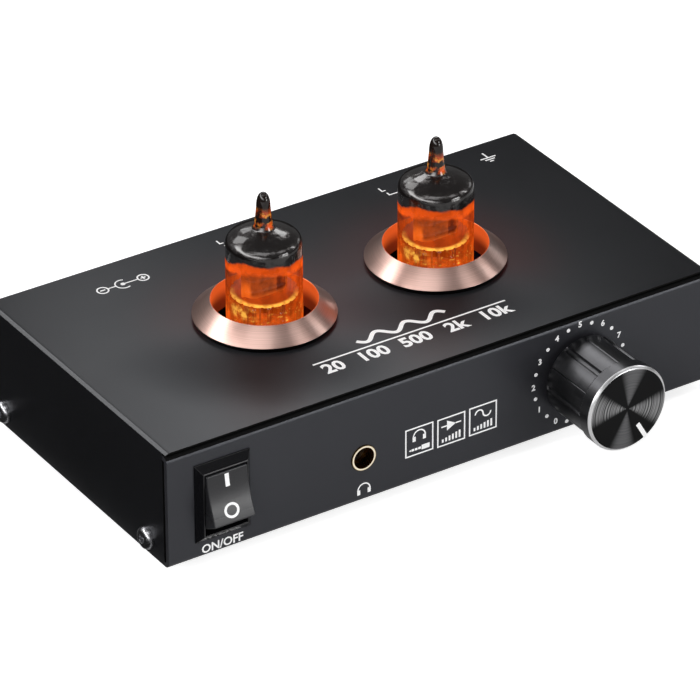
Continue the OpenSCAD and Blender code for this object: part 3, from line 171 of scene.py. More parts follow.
class Finish:
    """A material under construction: one Principled shader and the nodes that feed it."""

    def __init__(self, name, **constants):
        self.material = bpy.data.materials.new(name)
        self.material.use_nodes = True
        self.tree = self.material.node_tree
        self.tree.nodes.clear()
        output = self.tree.nodes.new("ShaderNodeOutputMaterial")
        self.shader = self.tree.nodes.new("ShaderNodeBsdfPrincipled")
        self.tree.links.new(self.shader.outputs[0], output.inputs["Surface"])
        self.set(**constants)

    def set(self, **values):
        """Sets or links the shader's sockets; a name's blanks are written as underscores."""
        for key, value in values.items():
            self.feed(self.shader.inputs[key.replace("_", " ")], value)
        return self

    def feed(self, socket, value):
        """Links a wire to a socket, or sets the socket's own value."""
        if isinstance(value, Wire):
            self.tree.links.new(value.socket, socket)
        elif socket.type == "RGBA" and len(value) == 3:
            socket.default_value = (*value, 1.0)
        else:
            socket.default_value = value

    def add(self, kind, inputs=(), output=0, **settings):
        """Adds a node: its settings first, then the values or links of its sockets."""
        node = self.tree.nodes.new("ShaderNode" + kind)
        for key, value in settings.items():
            setattr(node, key, value)
        for key, value in dict(inputs).items():
            self.feed(node.inputs[key], value)
        return Wire(self, node.outputs[output])

    def place(self, centre=(0.0, 0.0, 0.0)):
        """Object coordinates in millimetres, counted from a centre."""
        where = self.add("TexCoord", output="Object")
        offset = tuple(-c for c in centre)
        return self.add("Mapping", {"Vector": where, "Scale": (1 / MM,) * 3, "Location": offset})

    def split(self, vector):
        """The three numbers of a vector."""
        first = self.add("SeparateXYZ", {0: vector})
        return [Wire(self, socket) for socket in first.socket.node.outputs]

    def round_axis(self, centre, facing):
        """The distance from an axis, the height along it, and the two ways across it."""
        place = self.place(centre)
        across, up, along = (place.dot(axis) for axis in AXES[facing])
        return (across * across + up * up) ** 0.5, along, across, up

    def noise(self, vector, scale, detail=3.0, roughness=0.55, stretch=None):
        """Noise of about 0 to 1, with scale in grains per millimetre."""
        if stretch:
            vector = vector.vector("MULTIPLY", stretch)
        inputs = {"Vector": vector, "Scale": scale, "Detail": detail, "Roughness": roughness}
        return self.add("TexNoise", inputs)

    def rings(self, reach, **inputs):
        """Noise along one number, such as the distance from an axis in grains."""
        return self.add("TexNoise", {"W": reach, "Scale": 1.0, **inputs}, noise_dimensions="1D")

    def mix(self, share, first, second):
        """A colour between two colours."""
        return self.add("Mix", {0: share, 6: first, 7: second}, output=2, data_type="RGBA")

    def layered(self, colour, *layers):
        """Colours laid over a colour in turn, each as (its share, its colour)."""
        for share, over in layers:
            colour = self.mix(share, colour, over)
        return colour

    def colour(self, value):
        return self.set(Base_Color=value)

    def tint(self, share, shade, dark, light=1.0):
        """Colours the base from shade times dark to shade times light."""
        return self.colour(self.mix(share, *(tuple(c * k for c in shade) for k in (dark, light))))

    def relief(self, height, distance_mm, strength=1.0):
        """Bends the shader's normal by a height in shares of distance_mm."""
        inputs = {"Height": height, "Distance": distance_mm * MM, "Strength": strength}
        return self.set(Normal=self.add("Bump", inputs))

    def spun(self, centre, pitch_mm, lean):
        """Grooves turned round an upright axis: they lean the normal along the meridian."""
        upward = (0.0, 0.0, 1.0)
        place = self.place(centre)
        outward = place.vector("MULTIPLY", (1.0, 1.0, 0.0))
        reach = outward.vector("LENGTH", output=1) - place.dot(upward)
        outward = outward.vector("NORMALIZE")
        normal = self.add("TexCoord", output="Normal")
        rise = self.add("CombineXYZ", {2: normal.dot(outward)})
        meridian = rise.vector("SUBTRACT", outward.vector("MULTIPLY", normal.dot(upward)))
        groove = self.rings(reach / (2.5 * pitch_mm), Detail=2.0)
        wave = (reach * (2 * math.pi / pitch_mm)).math("SINE")
        leaning = normal.vector("ADD", meridian.vector("MULTIPLY", wave * (groove + 0.5) * lean))
        settings = {"vector_type": "NORMAL", "convert_from": "OBJECT", "convert_to": "WORLD"}
        self.set(Normal=self.add("VectorTransform", {0: leaning.vector("NORMALIZE")}, **settings))
        return groove


# ---------- meshes ----------


def add_object(name, data):
    """A new object in the scene."""
    thing = bpy.data.objects.new(name, data)
    bpy.context.scene.collection.objects.link(thing)
    return thing


def mesh_object(name, vertices_mm, faces, finishes, finish_of_face=None, smooth=32.0):
    """A piece of vertices in millimetres: doubles merged, faces outwards, smooth up to an angle."""
    mesh = bpy.data.meshes.new(name)
    mesh.from_pydata((np.asarray(vertices_mm, float) * MM).tolist(), [], [list(f) for f in faces])
    for finish in finishes:
        mesh.materials.append(finish.material)
    if finish_of_face is not None:
        mesh.polygons.foreach_set("material_index", np.asarray(finish_of_face, np.int32))
    tidy_mesh(mesh, smooth)
    return add_object(name, mesh)


def tidy_mesh(mesh, smooth, merge=1e-7, turn=True):
    """Merges doubles, drops faces without area, turns faces outwards and marks sharp edges."""
    work = bmesh.new()
    work.from_mesh(mesh)
    bmesh.ops.remove_doubles(work, verts=work.verts, dist=merge)
    bmesh.ops.dissolve_degenerate(work, edges=work.edges, dist=merge)
    if turn:
        bmesh.ops.recalc_face_normals(work, faces=work.faces)
    work.to_mesh(mesh)
    work.free()
    mesh.polygons.foreach_set("use_smooth", np.ones(len(mesh.polygons), bool))
    mesh.set_sharp_from_angle(angle=math.radians(smooth))
    mesh.update()


def settle(piece, body, replaces=()):
    """Rides a finished piece on its body and hides the CAD parts it stands in for."""
    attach(piece, body)
    if replaces:
        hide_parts(*replaces)


def grid_faces(rows, columns, close_rows=False, close_columns=True):
    """Quads between the neighbouring points of a grid of rows by columns."""
    i = np.arange(rows if close_rows else rows - 1)[:, None]
    j = np.arange(columns if close_columns else columns - 1)[None, :]
    here, after = i * columns, (i + 1) % rows * columns
    next_j = (j + 1) % columns
    return np.stack((here + j, here + next_j, after + next_j, after + j), -1).reshape(-1, 4)


def lathe(name, profile, centre, finishes, facing="up", turns=128, swell=None, closed=True,
          finish_of_row=None, smooth=32.0):
    """A turned piece: a profile of (radius, height) points carried round an axis.

    swell(radius, height, angle) may change the radius with the angle.
    """
    u, v, w = (np.array(axis) for axis in AXES[facing])
    angle = np.arange(turns) * 2 * math.pi / turns
    profile = np.asarray(profile, float)
    radius, height = (profile[:, k, None] * np.ones_like(angle) for k in (0, 1))
    if swell:
        radius = swell(radius, height, angle)
    across = (np.cos(angle) * radius)[..., None] * u + (np.sin(angle) * radius)[..., None] * v
    vertices = (np.array(centre, float) + across + height[..., None] * w).reshape(-1, 3)
    faces = grid_faces(len(profile), turns, close_rows=closed)
    finish_of_face = None if finish_of_row is None else np.repeat(finish_of_row, turns)
    return mesh_object(name, vertices, faces, finishes, finish_of_face, smooth)


def fillet(points, radii, steps):
    """Rounds a polyline's corners: each becomes an arc that touches both its sides."""
    points = [np.array(p, float) for p in points]
    out = []
    for i, (corner, radius) in enumerate(zip(points, radii)):
        if not radius:
            out.append(corner)
            continue
        before = points[i - 1] - corner
        after = points[(i + 1) % len(points)] - corner
        room = 0.45 * min(np.linalg.norm(before), np.linalg.norm(after))
        before = before / np.linalg.norm(before)
        after = after / np.linalg.norm(after)
        half = math.acos(before @ after) / 2
        cut = min(radius / math.tan(half), room)
        for share in np.linspace(0, 1, steps + 1):
            first = corner + before * cut * (1 - share)
            second = corner + after * cut * share
            out.append(first * (1 - share) + second * share)
    return np.array(out)


def softened(node, finish, width, segments=2, edge=None, way=(0, -1, 0), reshape=None):
    """A copy of a CAD node with its flat faces joined and its sharp edges rounded.

    Faces that look along way take the finish edge, here a near-black painted shade, and reshape moves the
    points beforehand.
    """
    mesh = NODES[node].data.copy()
    mesh.materials.clear()
    mesh.materials.append(finish.material)
    work = bmesh.new()
    work.from_mesh(mesh)
    bmesh.ops.remove_doubles(work, verts=work.verts, dist=2e-6)
    bmesh.ops.dissolve_limit(
        work, angle_limit=math.radians(0.5), use_dissolve_boundaries=False,
        verts=work.verts, edges=work.edges, delimit={"NORMAL"})
    work.to_mesh(mesh)
    work.free()
    if mesh.attributes.get("custom_normal"):
        mesh.attributes.remove(mesh.attributes["custom_normal"])
    tidy_mesh(mesh, SHARP_TURN, merge=1e-8, turn=False)
    if reshape:
        reshape(mesh)
    if edge:
        mesh.materials.append(edge.material)
        for face in mesh.polygons:
            face.material_index = int(face.normal.dot(Vector(way)) > 0.55)
    piece = add_object(node + "_shape", mesh)
    bevel = piece.modifiers.new("edges", "BEVEL")
    bevel.width = width * MM
    bevel.segments = segments
    bevel.limit_method = "ANGLE"
    bevel.angle_limit = math.radians(SHARP_TURN)
    bevel.harden_normals = True
    bevel.miter_outer = "MITER_ARC"
    body = next(body for body, members in BODIES.items() if node in members)
    settle(piece, body, (node,))


# ---------- finishes ----------


def round_tubes(finish, where, effect):
    """The sum of effect(distance, ahead) over the tubes, at most 1.

    The distance is from the tube's axis, and ahead says how far that way points to the front left.
    """
    x, y, _ = finish.split(where)
    total = 0.0
    for tube_x in TUBE_XS.values():
        right, back = x - tube_x, y - TUBE_Y
        away = (right**2.0 + back**2.0) ** 0.5
        total = effect(away, (right * TO_FRONT[0] + back * TO_FRONT[1]) / away) + total
    return total.clamped()


def powder_coat(name, shade, dull=None):
    """Satin black coat: fine grain, faint clouding, and duller by the tubes where dull says so."""
    finish = Finish(name, IOR=1.5, Specular_Tint=(0.89, 0.925, 1.0))
    where = finish.place()
    grain = finish.noise(where, 3.6, 2.0, 0.6)
    cloud = finish.noise(where, 0.06, 2.0)
    finish.tint(grain * 0.5 + cloud * 0.5, shade, 0.8, 1.3)
    rough = 0.36 + (grain - 0.5) * 0.1 + (cloud - 0.5) * 0.06
    if dull:
        rough = rough + 0.22 * round_tubes(finish, where, dull)
    return finish.set(Roughness=rough).relief(grain, 0.012, 0.55)


def cover_coat():
    """Powder coat, glossier along the folds, with the tubes' warm light round the rings painted in as a
    faint red glow.
    """
    finish = powder_coat("cover_coat", (0.005, 0.005, 0.006),
                         lambda away, ahead: ahead.step(0.3, 0.9) * away.step(46.0, 26.0))
    where = finish.place()
    x, _, z = finish.split(where)
    side = CASE_W / 2
    fold = x.math("ABSOLUTE").step(side - 1.1, side - 0.8) * z.step(COVER_TOP - 0.8, COVER_TOP - 0.6)
    # Painted glow: a faint red emission round each ring stands in for the tube's warm light, fading with
    # distance and towards the front.
    warm = round_tubes(finish, where,
                       lambda away, ahead: (away.step(40.0, 15.0) ** 1.6) * ahead.step(0.8, 0.1))
    glow = finish.mix(warm * z.step(COVER_TOP - 0.4, COVER_TOP - 0.1), (0, 0, 0), (0.02, 0.0016, 0.0008))
    finish.set(Coat_Weight=fold * 0.9, Coat_Roughness=0.22)
    return finish.set(Emission_Color=glow, Emission_Strength=1.0)


def rubber():
    finish = Finish("foot_rubber_finish", Roughness=0.75)
    grain = finish.noise(finish.place(), 2.4, 3.0)
    finish.colour(finish.mix(grain, (0.012, 0.012, 0.012), (0.035, 0.035, 0.035)))
    return finish.relief(grain, 0.05, 0.6)


def plastic(name, shade, rough=0.3, **constants):
    """Moulded plastic: an even shade with a fine skin."""
    finish = Finish(name, **constants)
    skin = finish.noise(finish.place(), 2.5, 2.0)
    finish.tint(skin, shade, 0.85, 1.15)
    finish.set(Roughness=rough + (skin - 0.5) * 0.08)
    return finish.relief(skin, 0.01, 0.5)


def metal(name, shade, rough):
    """Plated metal: slight stains and fine scratches change its gloss."""
    finish = Finish(name, Metallic=1.0)
    where = finish.place()
    stain = finish.noise(where, 0.35, 4.0)
    scratch = finish.noise(where, 2.0, 2.0, stretch=(1.0, 1.0, 6.0))
    finish.tint(stain, shade, 0.85)
    finish.set(Roughness=rough + (scratch - 0.5) * 0.12 + (stain - 0.5) * 0.08)
    return finish.relief(scratch, 0.006, 0.5)


def turned_metal(name, shade, centre, pitch_mm, lean, **constants):
    """Turned metal: grooves round an upright axis carry its highlights across them."""
    finish = Finish(name, Metallic=1.0, **constants)
    groove = finish.spun(centre, pitch_mm, lean)
    stain = finish.noise(finish.place(), 0.4, 3.0)
    finish.tint(groove * 0.6 + stain * 0.4, shade, 0.86)
    return finish.set(Roughness=0.35 + (stain - 0.5) * 0.08)


def spun_metal(name, shade, pitch_mm, rough, depth, centre, facing="up", **constants):
    """Metal spun about an axis: fine rings of lighter and darker metal, one pitch apart."""
    finish = Finish(name, Metallic=1.0, **constants)
    radius, along, _, _ = finish.round_axis(centre, facing)
    ring = finish.rings((radius - along) / pitch_mm, Detail=2.0, Roughness=0.6).step(0.3, 0.7)
    finish.tint(ring, shade, 1 - depth, 1 + depth)
    return finish.set(Roughness=rough + (ring - 0.5) * 0.04)


def ink():
    # The white ink also glows faintly: a painted brightness on top of its white colour.
    finish = Finish("white_ink", Roughness=0.55, Emission_Color=(1.0, 1.0, 1.0), Emission_Strength=0.12)
    grain = finish.noise(finish.place(), 5.0, 2.0)
    return finish.colour(finish.mix(grain, (0.88, 0.88, 0.88), (0.97, 0.97, 0.97)))


def rocker_plastic():
    """Satin black plastic that is duller towards the rocker's lower end."""
    finish = plastic("rocker_plastic_finish", (0.016, 0.016, 0.018))
    where = finish.place()
    lower = finish.split(where)[2].step(SWITCH_Z - 2.0, SWITCH_Z - 6.0)
    skin = finish.noise(where, 2.5, 2.0)
    return finish.set(Roughness=0.27 + (skin - 0.5) * 0.01 + lower * 0.33)


def jack_plating():
    """Pale gilt rim with a darker outer edge, round an amber-brown bore; the rim also glows pale gold as a
    painted highlight.
    """
    finish = Finish("jack_bush_plating", Metallic=1.0, Emission_Strength=0.35)
    radius = finish.round_axis((JACK_X, 0.0, JACK_Z), "front")[0]
    stain = finish.noise(finish.place(), 0.6, 3.0)
    rim = radius.between(2.77, 2.82, 3.1, 3.25)
    shade = finish.mix(radius.step(2.9, 3.0), (0.3, 0.13, 0.015), (0.4, 0.27, 0.1))
    gilt = finish.mix(stain, (0.97, 0.88, 0.7), (1.0, 0.93, 0.78))
    # Painted highlight: the gilt rim glows in pale gold.
    finish.set(Emission_Color=finish.mix(rim, (0, 0, 0), (1.0, 0.86, 0.62)))
    return finish.set(Base_Color=finish.mix(rim, shade, gilt), Roughness=0.26 + (stain - 0.5) * 0.1)


# Painted shade: near-black, dull and barely glossy, for the cover's front cut edge and the tray's upward
# faces, so the band between cover and front panel shows dark.
PAINTED_SHADE_EDGE = plastic("painted_shade_edge", (0.003, 0.003, 0.003), 0.7, Specular_IOR_Level=0.08)
SCREW = metal("black_screw_steel", (0.42, 0.42, 0.44), 0.28)
INK = ink()

# ---------- trim rings ----------


def rose_ring(side):
    """The trim ring of one tube: black foot, coppery cone, bore with a painted orange glow, and spigot."""
    centre = (TUBE_XS[side], TUBE_Y, COVER_TOP)
    copper = spun_metal(f"rose_cone_{side}", (0.61, 0.385, 0.325), 0.3, 0.36, 0.1, centre,
                        Anisotropic=0.75, Anisotropic_Rotation=0.25, Coat_Weight=1.0, Coat_Roughness=0.25)
    # Painted glow: the bore's orange emission stands in for the tube's light on it, stronger towards its
    # top.
    lit = turned_metal(f"bore_painted_glow_{side}", (0.4, 0.13, 0.06), centre, 0.4, 0.05, Emission_Strength=1.0)
    rise = lit.split(lit.place(centre))[2].step(-0.5, 3.6)
    lit.set(Emission_Color=lit.mix(rise, (0.10, 0.012, 0.003), (0.62, 0.085, 0.014)))
    black = turned_metal(f"ring_foot_black_{side}", (0.02, 0.018, 0.018), centre, 0.2, 0.1)
    bore = RING_ID / 2
    outer = RING_OD / 2
    spigot = bore + 0.9
    corners = [(bore, -2.5), (spigot, -2.5), (spigot, 0.0), (outer - 0.35, 0.0),
               (outer - 0.1, RING_RIM - 0.15), (outer, RING_RIM), (bore + 0.14, RING_H),
               (bore, RING_H - 0.12)]
    profile = fillet(corners, [0, 0, 0, 0.15, 0.08, 0.1, 0.06, 0.06], 3)
    out, middle = ((profile + np.roll(profile, -1, axis=0)) / 2).T
    is_foot = (middle < RING_RIM - 0.05) & (out > spigot - 0.1)
    in_bore = (out < bore + 0.14) & (middle > 0)
    ring = lathe(f"trim_ring_{side}_turned", profile, centre, [copper, black, lit], turns=192,
                 finish_of_row=is_foot + 2 * in_bore)
    settle(ring, "case", (f"trim_ring_{side}",))


for tube_side in TUBE_XS:
    rose_ring(tube_side)

# ---------- tubes ----------

# Colours of the painted glow in the glass: emission that stands in for the light of the lamp below.
DEEP_GLOW = (0.36, 0.032, 0.002)
MID_GLOW = (0.92, 0.10, 0.005)
HOT_GLOW = (1.0, 0.24, 0.025)
YELLOW_GLOW = (1.0, 0.56, 0.08)


def envelope_profile():
    """The outside of the envelope, from its foot up the wall and dome to the sealed tip."""
    corners = [(0.0, 0.0), (TUBE_R, 0.0), (TUBE_R, 25.9), (6.3, 27.6), (2.6, 28.7), (2.15, 29.7),
               (1.72, 34.3)]
    body = fillet(corners, [0, 1.9, 5.0, 12.0, 0.5, 0.4, 0], 8)
    turn = np.linspace(0.1, math.pi / 2, 12)
    cap_r, cap_base = 1.7, 34.6
    cap = np.stack((cap_r * np.cos(turn) ** 0.8, cap_base + (TUBE_H - cap_base) * np.sin(turn)), -1)
    cap[-1, 0] = 0.0
    return np.concatenate((body, cap))


def glass(side):
    """Glass with a painted glow: clear amber wall whose orange light is painted emission, dark mirror whose
    edge is highest in front, smoky tip with painted glowing patches.
    """
    finish = Finish(f"amber_glass_{side}", Specular_IOR_Level=0.0, Coat_Roughness=0.06,
                    Emission_Strength=1.0)
    where = finish.place(TUBE_FEET[side])
    z = finish.split(where)[2]
    ahead = where.dot(TO_FRONT) / TUBE_R
    leftward = where.dot(TO_LEFT) / TUBE_R
    wave = finish.noise(where, 0.12, 1.0)
    fine = finish.noise(where, 0.7, 2.0)
    streak = finish.noise(where, 0.5, 3.0, stretch=(1.0, 1.0, 0.2))
    blot = finish.noise(where, 0.42, 3.0)
    spark = finish.noise(where, 0.9, 4.0, stretch=(1.0, 1.0, 1.5))
    edge = 21.2 + 1.7 * ahead + (wave - 0.5) * 3.0 + (fine - 0.5) * 0.8
    mirror = z.step(edge - 0.3, edge + 0.5)
    brown = z.step(edge - 1.6, edge)
    collar = z.step(edge - 3.0, edge - 2.0)
    base = z.step(12.0, 8.5)
    hot = spark.step(0.6, 0.72) * (0.25 + 0.75 * base) * z.step(20.0, 16.0)
    dim = blot.step(0.55, 0.4)
    tip = z.step(28.7, 29.8)
    tip_painted_glow = blot.step(0.42, 0.6) * tip * z.step(35.0, 32.0)
    painted_flare = leftward.between(0.0, 0.55, 0.7, 0.92) * blot.step(0.36, 0.56)
    painted_flare = painted_flare * z.between(7.5, 9.5, 10.5, 12.5) * ahead.step(0.0, 0.3)
    painted_left_shade = leftward.step(0.45, 0.75) * z.step(12.5, 14.5) * (1.0 - collar)
    # The wall's emission is painted glow throughout: darker blots, a hotter lower part with yellow sparks,
    # a painted yellow flare at the front left, a bright band under the mirror's edge, painted shade towards
    # the left, and a dimmer band at the edge.
    wall = finish.layered(
        finish.mix(streak.step(0.35, 0.65), DEEP_GLOW, MID_GLOW),
        (dim * 0.6, (0.16, 0.014, 0.001)),
        (base * 0.12, HOT_GLOW),
        (hot * 0.8, YELLOW_GLOW),
        (painted_flare * 0.8, YELLOW_GLOW),
        (collar * (1.0 - 0.4 * dim), (0.95, 0.105, 0.008)),
        (painted_left_shade * (0.4 + 0.5 * streak.step(0.4, 0.6)), (0.07, 0.014, 0.003)),
        (brown * 0.35, (0.10, 0.014, 0.003)),
    )
    # The tip's emission is painted too: dim smoke with orange and yellow painted glow patches.
    smoke_and_painted_tip_glow = finish.layered(
        finish.mix(fine, (0.001, 0.0008, 0.0008), (0.004, 0.0018, 0.0016)),
        (tip_painted_glow, (0.8, 0.10, 0.007)),
        (fine.step(0.46, 0.62) * tip_painted_glow, (1.0, 0.5, 0.06)),
    )
    finish.set(Emission_Color=finish.mix(mirror, wall, smoke_and_painted_tip_glow))
    silver = finish.mix(z.step(24.6, 26.4), (0.028, 0.027, 0.026), (0.05, 0.047, 0.046))
    silver = finish.mix(tip, silver, (0.008, 0.005, 0.004))
    finish.colour(finish.mix(mirror, (0.05, 0.005, 0.001), silver))
    facing = finish.add("LayerWeight", {"Blend": 0.5}, output=1)
    clear = 0.06 + 0.95 * facing + 0.25 * base + 0.3 * hot + 0.5 * painted_flare + 0.4 * collar + 0.3 * brown
    finish.set(Alpha=(clear + mirror).clamped(), Metallic=mirror * (1.0 - tip) * 0.95)
    finish.set(Coat_Weight=0.12 + 0.88 * mirror, Roughness=0.4 - mirror * (0.12 + 0.1 * fine))
    dent = mirror * z.step(26.5, 23.0) * finish.noise(where, 0.8, 1.0) * 0.9
    return finish.relief(finish.noise(where, 0.3, 2.0) + dent, 0.35)


def envelope(side):
    piece = lathe(f"tube_glass_{side}_blown", envelope_profile(), TUBE_FEET[side], [glass(side)],
                  closed=False, smooth=60.0)
    settle(piece, f"{side}_tube", (f"tube_glass_{side}",))


def plate_metal(side):
    """Dark brown plate metal: a painted glow stands in for the heater and the lamp below lighting it, and a
    painted dark slot for shade.
    """
    finish = Finish(f"plate_painted_glow_{side}", Metallic=0.6, Emission_Strength=1.0)
    where = finish.place(TUBE_FEET[side])
    x, y, z = finish.split(where)
    grain = finish.noise(where, 2.5, 3.0)
    patch = finish.noise(where, 0.5, 2.0)
    # Painted shade: a dark slot on the front of the plate, to the right of its centre.
    painted_dark_slot = x.between(1.6, 1.9, 4.3, 4.6) * y.step(0.0, -0.5)
    sheet = finish.mix(grain, (0.035, 0.008, 0.002), (0.08, 0.02, 0.005))
    # The plate's emission is painted glow, brightest low on its left end and along its bottom.
    glow = finish.layered(
        finish.mix(patch.step(0.3, 0.7), (0.09, 0.02, 0.004), (0.26, 0.046, 0.008)),
        (painted_dark_slot, (0.004, 0.001, 0.001)),
        (x.step(-4.6, -5.2) * z.step(17.0, 13.5), (1.0, 0.16, 0.012)),
        (z.step(13.0, 11.8) * 0.6, (0.7, 0.1, 0.008)),
    )
    finish.colour(finish.mix(painted_dark_slot, sheet, (0.006, 0.002, 0.001)))
    finish.set(Emission_Color=glow, Roughness=0.45 + 0.2 * grain)
    return finish.relief(grain, 0.03, 0.5)


def plate(side):
    """The plate: a flat-sided sleeve with three beads, and its two crimped wings."""
    centre = np.array(TUBE_FEET[side])
    flat, end_r = 2.8, 2.7
    thick = 0.3
    turn = np.linspace(0, 2 * math.pi, 96, endpoint=False)
    end = np.cos(turn) * end_r
    along = end + np.sign(np.cos(turn)) * flat * np.clip(np.abs(np.cos(turn)) * 4, 0, 1)
    low, high = LOW_MICA + 0.32, HIGH_MICA - 0.02
    z = np.linspace(low, high, 40)
    bead = sum(0.22 * np.exp(-((z - low - (high - low) * s) / 0.32) ** 2) for s in (0.18, 0.5, 0.82))
    swell = np.concatenate((bead, bead[::-1] - thick))[:, None] / end_r
    height = np.concatenate((z, z[::-1]))[:, None]
    points = np.stack((along + swell * end, np.sin(turn) * end_r * (1 + swell), height + 0 * along), -1)
    vertices = (points.reshape(-1, 3) + centre).tolist()
    faces = grid_faces(len(height), len(turn), close_rows=True).tolist()
    for way in (-1, 1):
        start = len(vertices)
        near, far = way * 5.2, way * 6.25
        for px, py in ((near, -0.28), (far, -0.28), (far, 0.28), (near, 0.28)):
            vertices += [list(centre + (px, py, low)), list(centre + (px, py, high))]
        sides = [(2 * i, (2 * i + 2) % 8, (2 * i + 3) % 8, 2 * i + 1) for i in range(4)]
        faces += [[start + k for k in face] for face in sides + [(0, 2, 4, 6), (1, 3, 5, 7)]]
    piece = mesh_object(f"tube_plate_{side}_beaded", vertices, faces, [plate_metal(side)], smooth=40.0)
    settle(piece, f"{side}_tube", (f"tube_plate_{side}",))


def mica(side):
    """Mica with a painted glow for the lamp below: yellow at its rim, orange inwards."""
    finish = Finish(f"mica_painted_glow_{side}", Roughness=0.35, Emission_Strength=1.6)
    where = finish.place(TUBE_FEET[side])
    x, y, z = finish.split(where)
    flake = finish.noise(where, 0.8, 3.0)
    rim = ((x * x + y * y) ** 0.5).step(6.6, 7.9) * (where.dot(TO_FRONT) / 8.0).step(-0.3, 0.5)
    rim = rim * (0.55 + 0.45 * flake.step(0.4, 0.6)) * (1.0 - 0.55 * x.step(2.0, 8.0))
    glow = finish.mix(rim, (0.16, 0.017, 0.001), (1.0, 0.5, 0.07))
    finish.set(Emission_Color=finish.mix(z.step(18.0, 13.0), (0.2, 0.02, 0.0015), glow))
    return finish.colour(finish.mix(flake, (0.06, 0.016, 0.004), (0.12, 0.035, 0.008)))


for tube_side in TUBE_XS:
    envelope(tube_side)
    plate(tube_side)

# ---------- case and switch ----------


def crisp_fold(mesh):
    """Turns the cover's round folds into a narrow slope and a tight corner."""
    points = np.empty(len(mesh.vertices) * 3)
    mesh.vertices.foreach_get("co", points)
    points = points.reshape(-1, 3) / MM
    out = np.abs(points[:, 0]) - (CASE_W / 2 - FOLD_R)
    rise = points[:, 2] - (COVER_TOP - FOLD_R)
    on_arc = (out > 0.01) & (rise > 0.01) & (np.hypot(out, rise) > FOLD_R - 0.2)
    share = np.arctan2(out, rise) / (math.pi / 2)
    new_out = np.interp(share, (0.0, 0.15, 0.8, 1.0), (0.0, 0.7, FOLD_R, FOLD_R))
    new_rise = np.interp(share, (0.0, 0.15, 0.8, 1.0), (FOLD_R, FOLD_R, 1.14, 0.0))
    side = np.sign(points[:, 0])
    points[on_arc, 0] = (side * (CASE_W / 2 - FOLD_R + new_out))[on_arc]
    points[on_arc, 2] = (COVER_TOP - FOLD_R + new_rise)[on_arc]
    mesh.vertices.foreach_set("co", (points * MM).ravel())
    tidy_mesh(mesh, SHARP_TURN, merge=1e-8, turn=False)


softened("top_cover", cover_coat(), 0.12, edge=PAINTED_SHADE_EDGE, reshape=crisp_fold)
softened("base_tray", powder_coat("panel_coat", (0.02, 0.02, 0.0235)), 0.18, edge=PAINTED_SHADE_EDGE, way=(0, 0, 1))
softened("rubber_feet", rubber(), 0.4, 3)
softened("cover_screws", SCREW, 0.12)
softened("switch_housing", plastic("bezel_plastic", (0.004, 0.004, 0.005), 0.14), 0.12)
softened("switch_rocker", rocker_plastic(), 0.3, 3)

# ---------- knob ----------


def spun_face():
    """The knob's face: four painted fans of highlight on fine turned rings, which show most at its sides.
    """
    finish = Finish("knob_face_with_painted_fans", Metallic=1.0, Roughness=0.34)
    radius, _, x, y = finish.round_axis(KNOB_BASE, "front")
    ring = finish.rings(radius / 0.42, Detail=1.0).step(0.38, 0.62)

    def fan(turn, low, high):
        along = x * math.cos(math.radians(turn)) + y * math.sin(math.radians(turn))
        return (along / (radius + 0.05)).math("ABSOLUTE").step(low, high)

    # Painted highlights: bright fans in the base colour up and down and to either side, fixed to the face.
    upright = fan(81, 0.915, 1.0) * (0.8 + 0.2 * ring)
    level = fan(165, 0.87, 1.0) * (0.2 + 0.8 * ring)
    return finish.colour(finish.layered(
        (0.014, 0.014, 0.0145), (upright, (0.19, 0.19, 0.195)), (level, (0.42, 0.42, 0.425))))


def fluted(radius, height, angle):
    """Six wide flutes and six fine lines between them sink into the body's side."""
    pitch = math.radians(60)
    wide = ((angle + pitch / 2) % pitch - pitch / 2) * KNOB_BODY_R
    fine = (angle % pitch - pitch / 2) * KNOB_BODY_R
    flute_r, flute_deep = 0.85, 0.7
    line_half, line_deep = 0.16, 0.16
    cut = np.sqrt(np.clip(flute_r**2 - wide**2, 0, None)) - (flute_r - flute_deep)
    cut = np.clip(cut, 0, None) + np.clip(line_half - np.abs(fine), 0, None) / line_half * line_deep
    on_side = (radius > KNOB_BODY_R - 0.3) & (height < GROOVE_START + 0.01) & (height > 0.0)
    return radius - np.where(on_side, cut, 0.0)


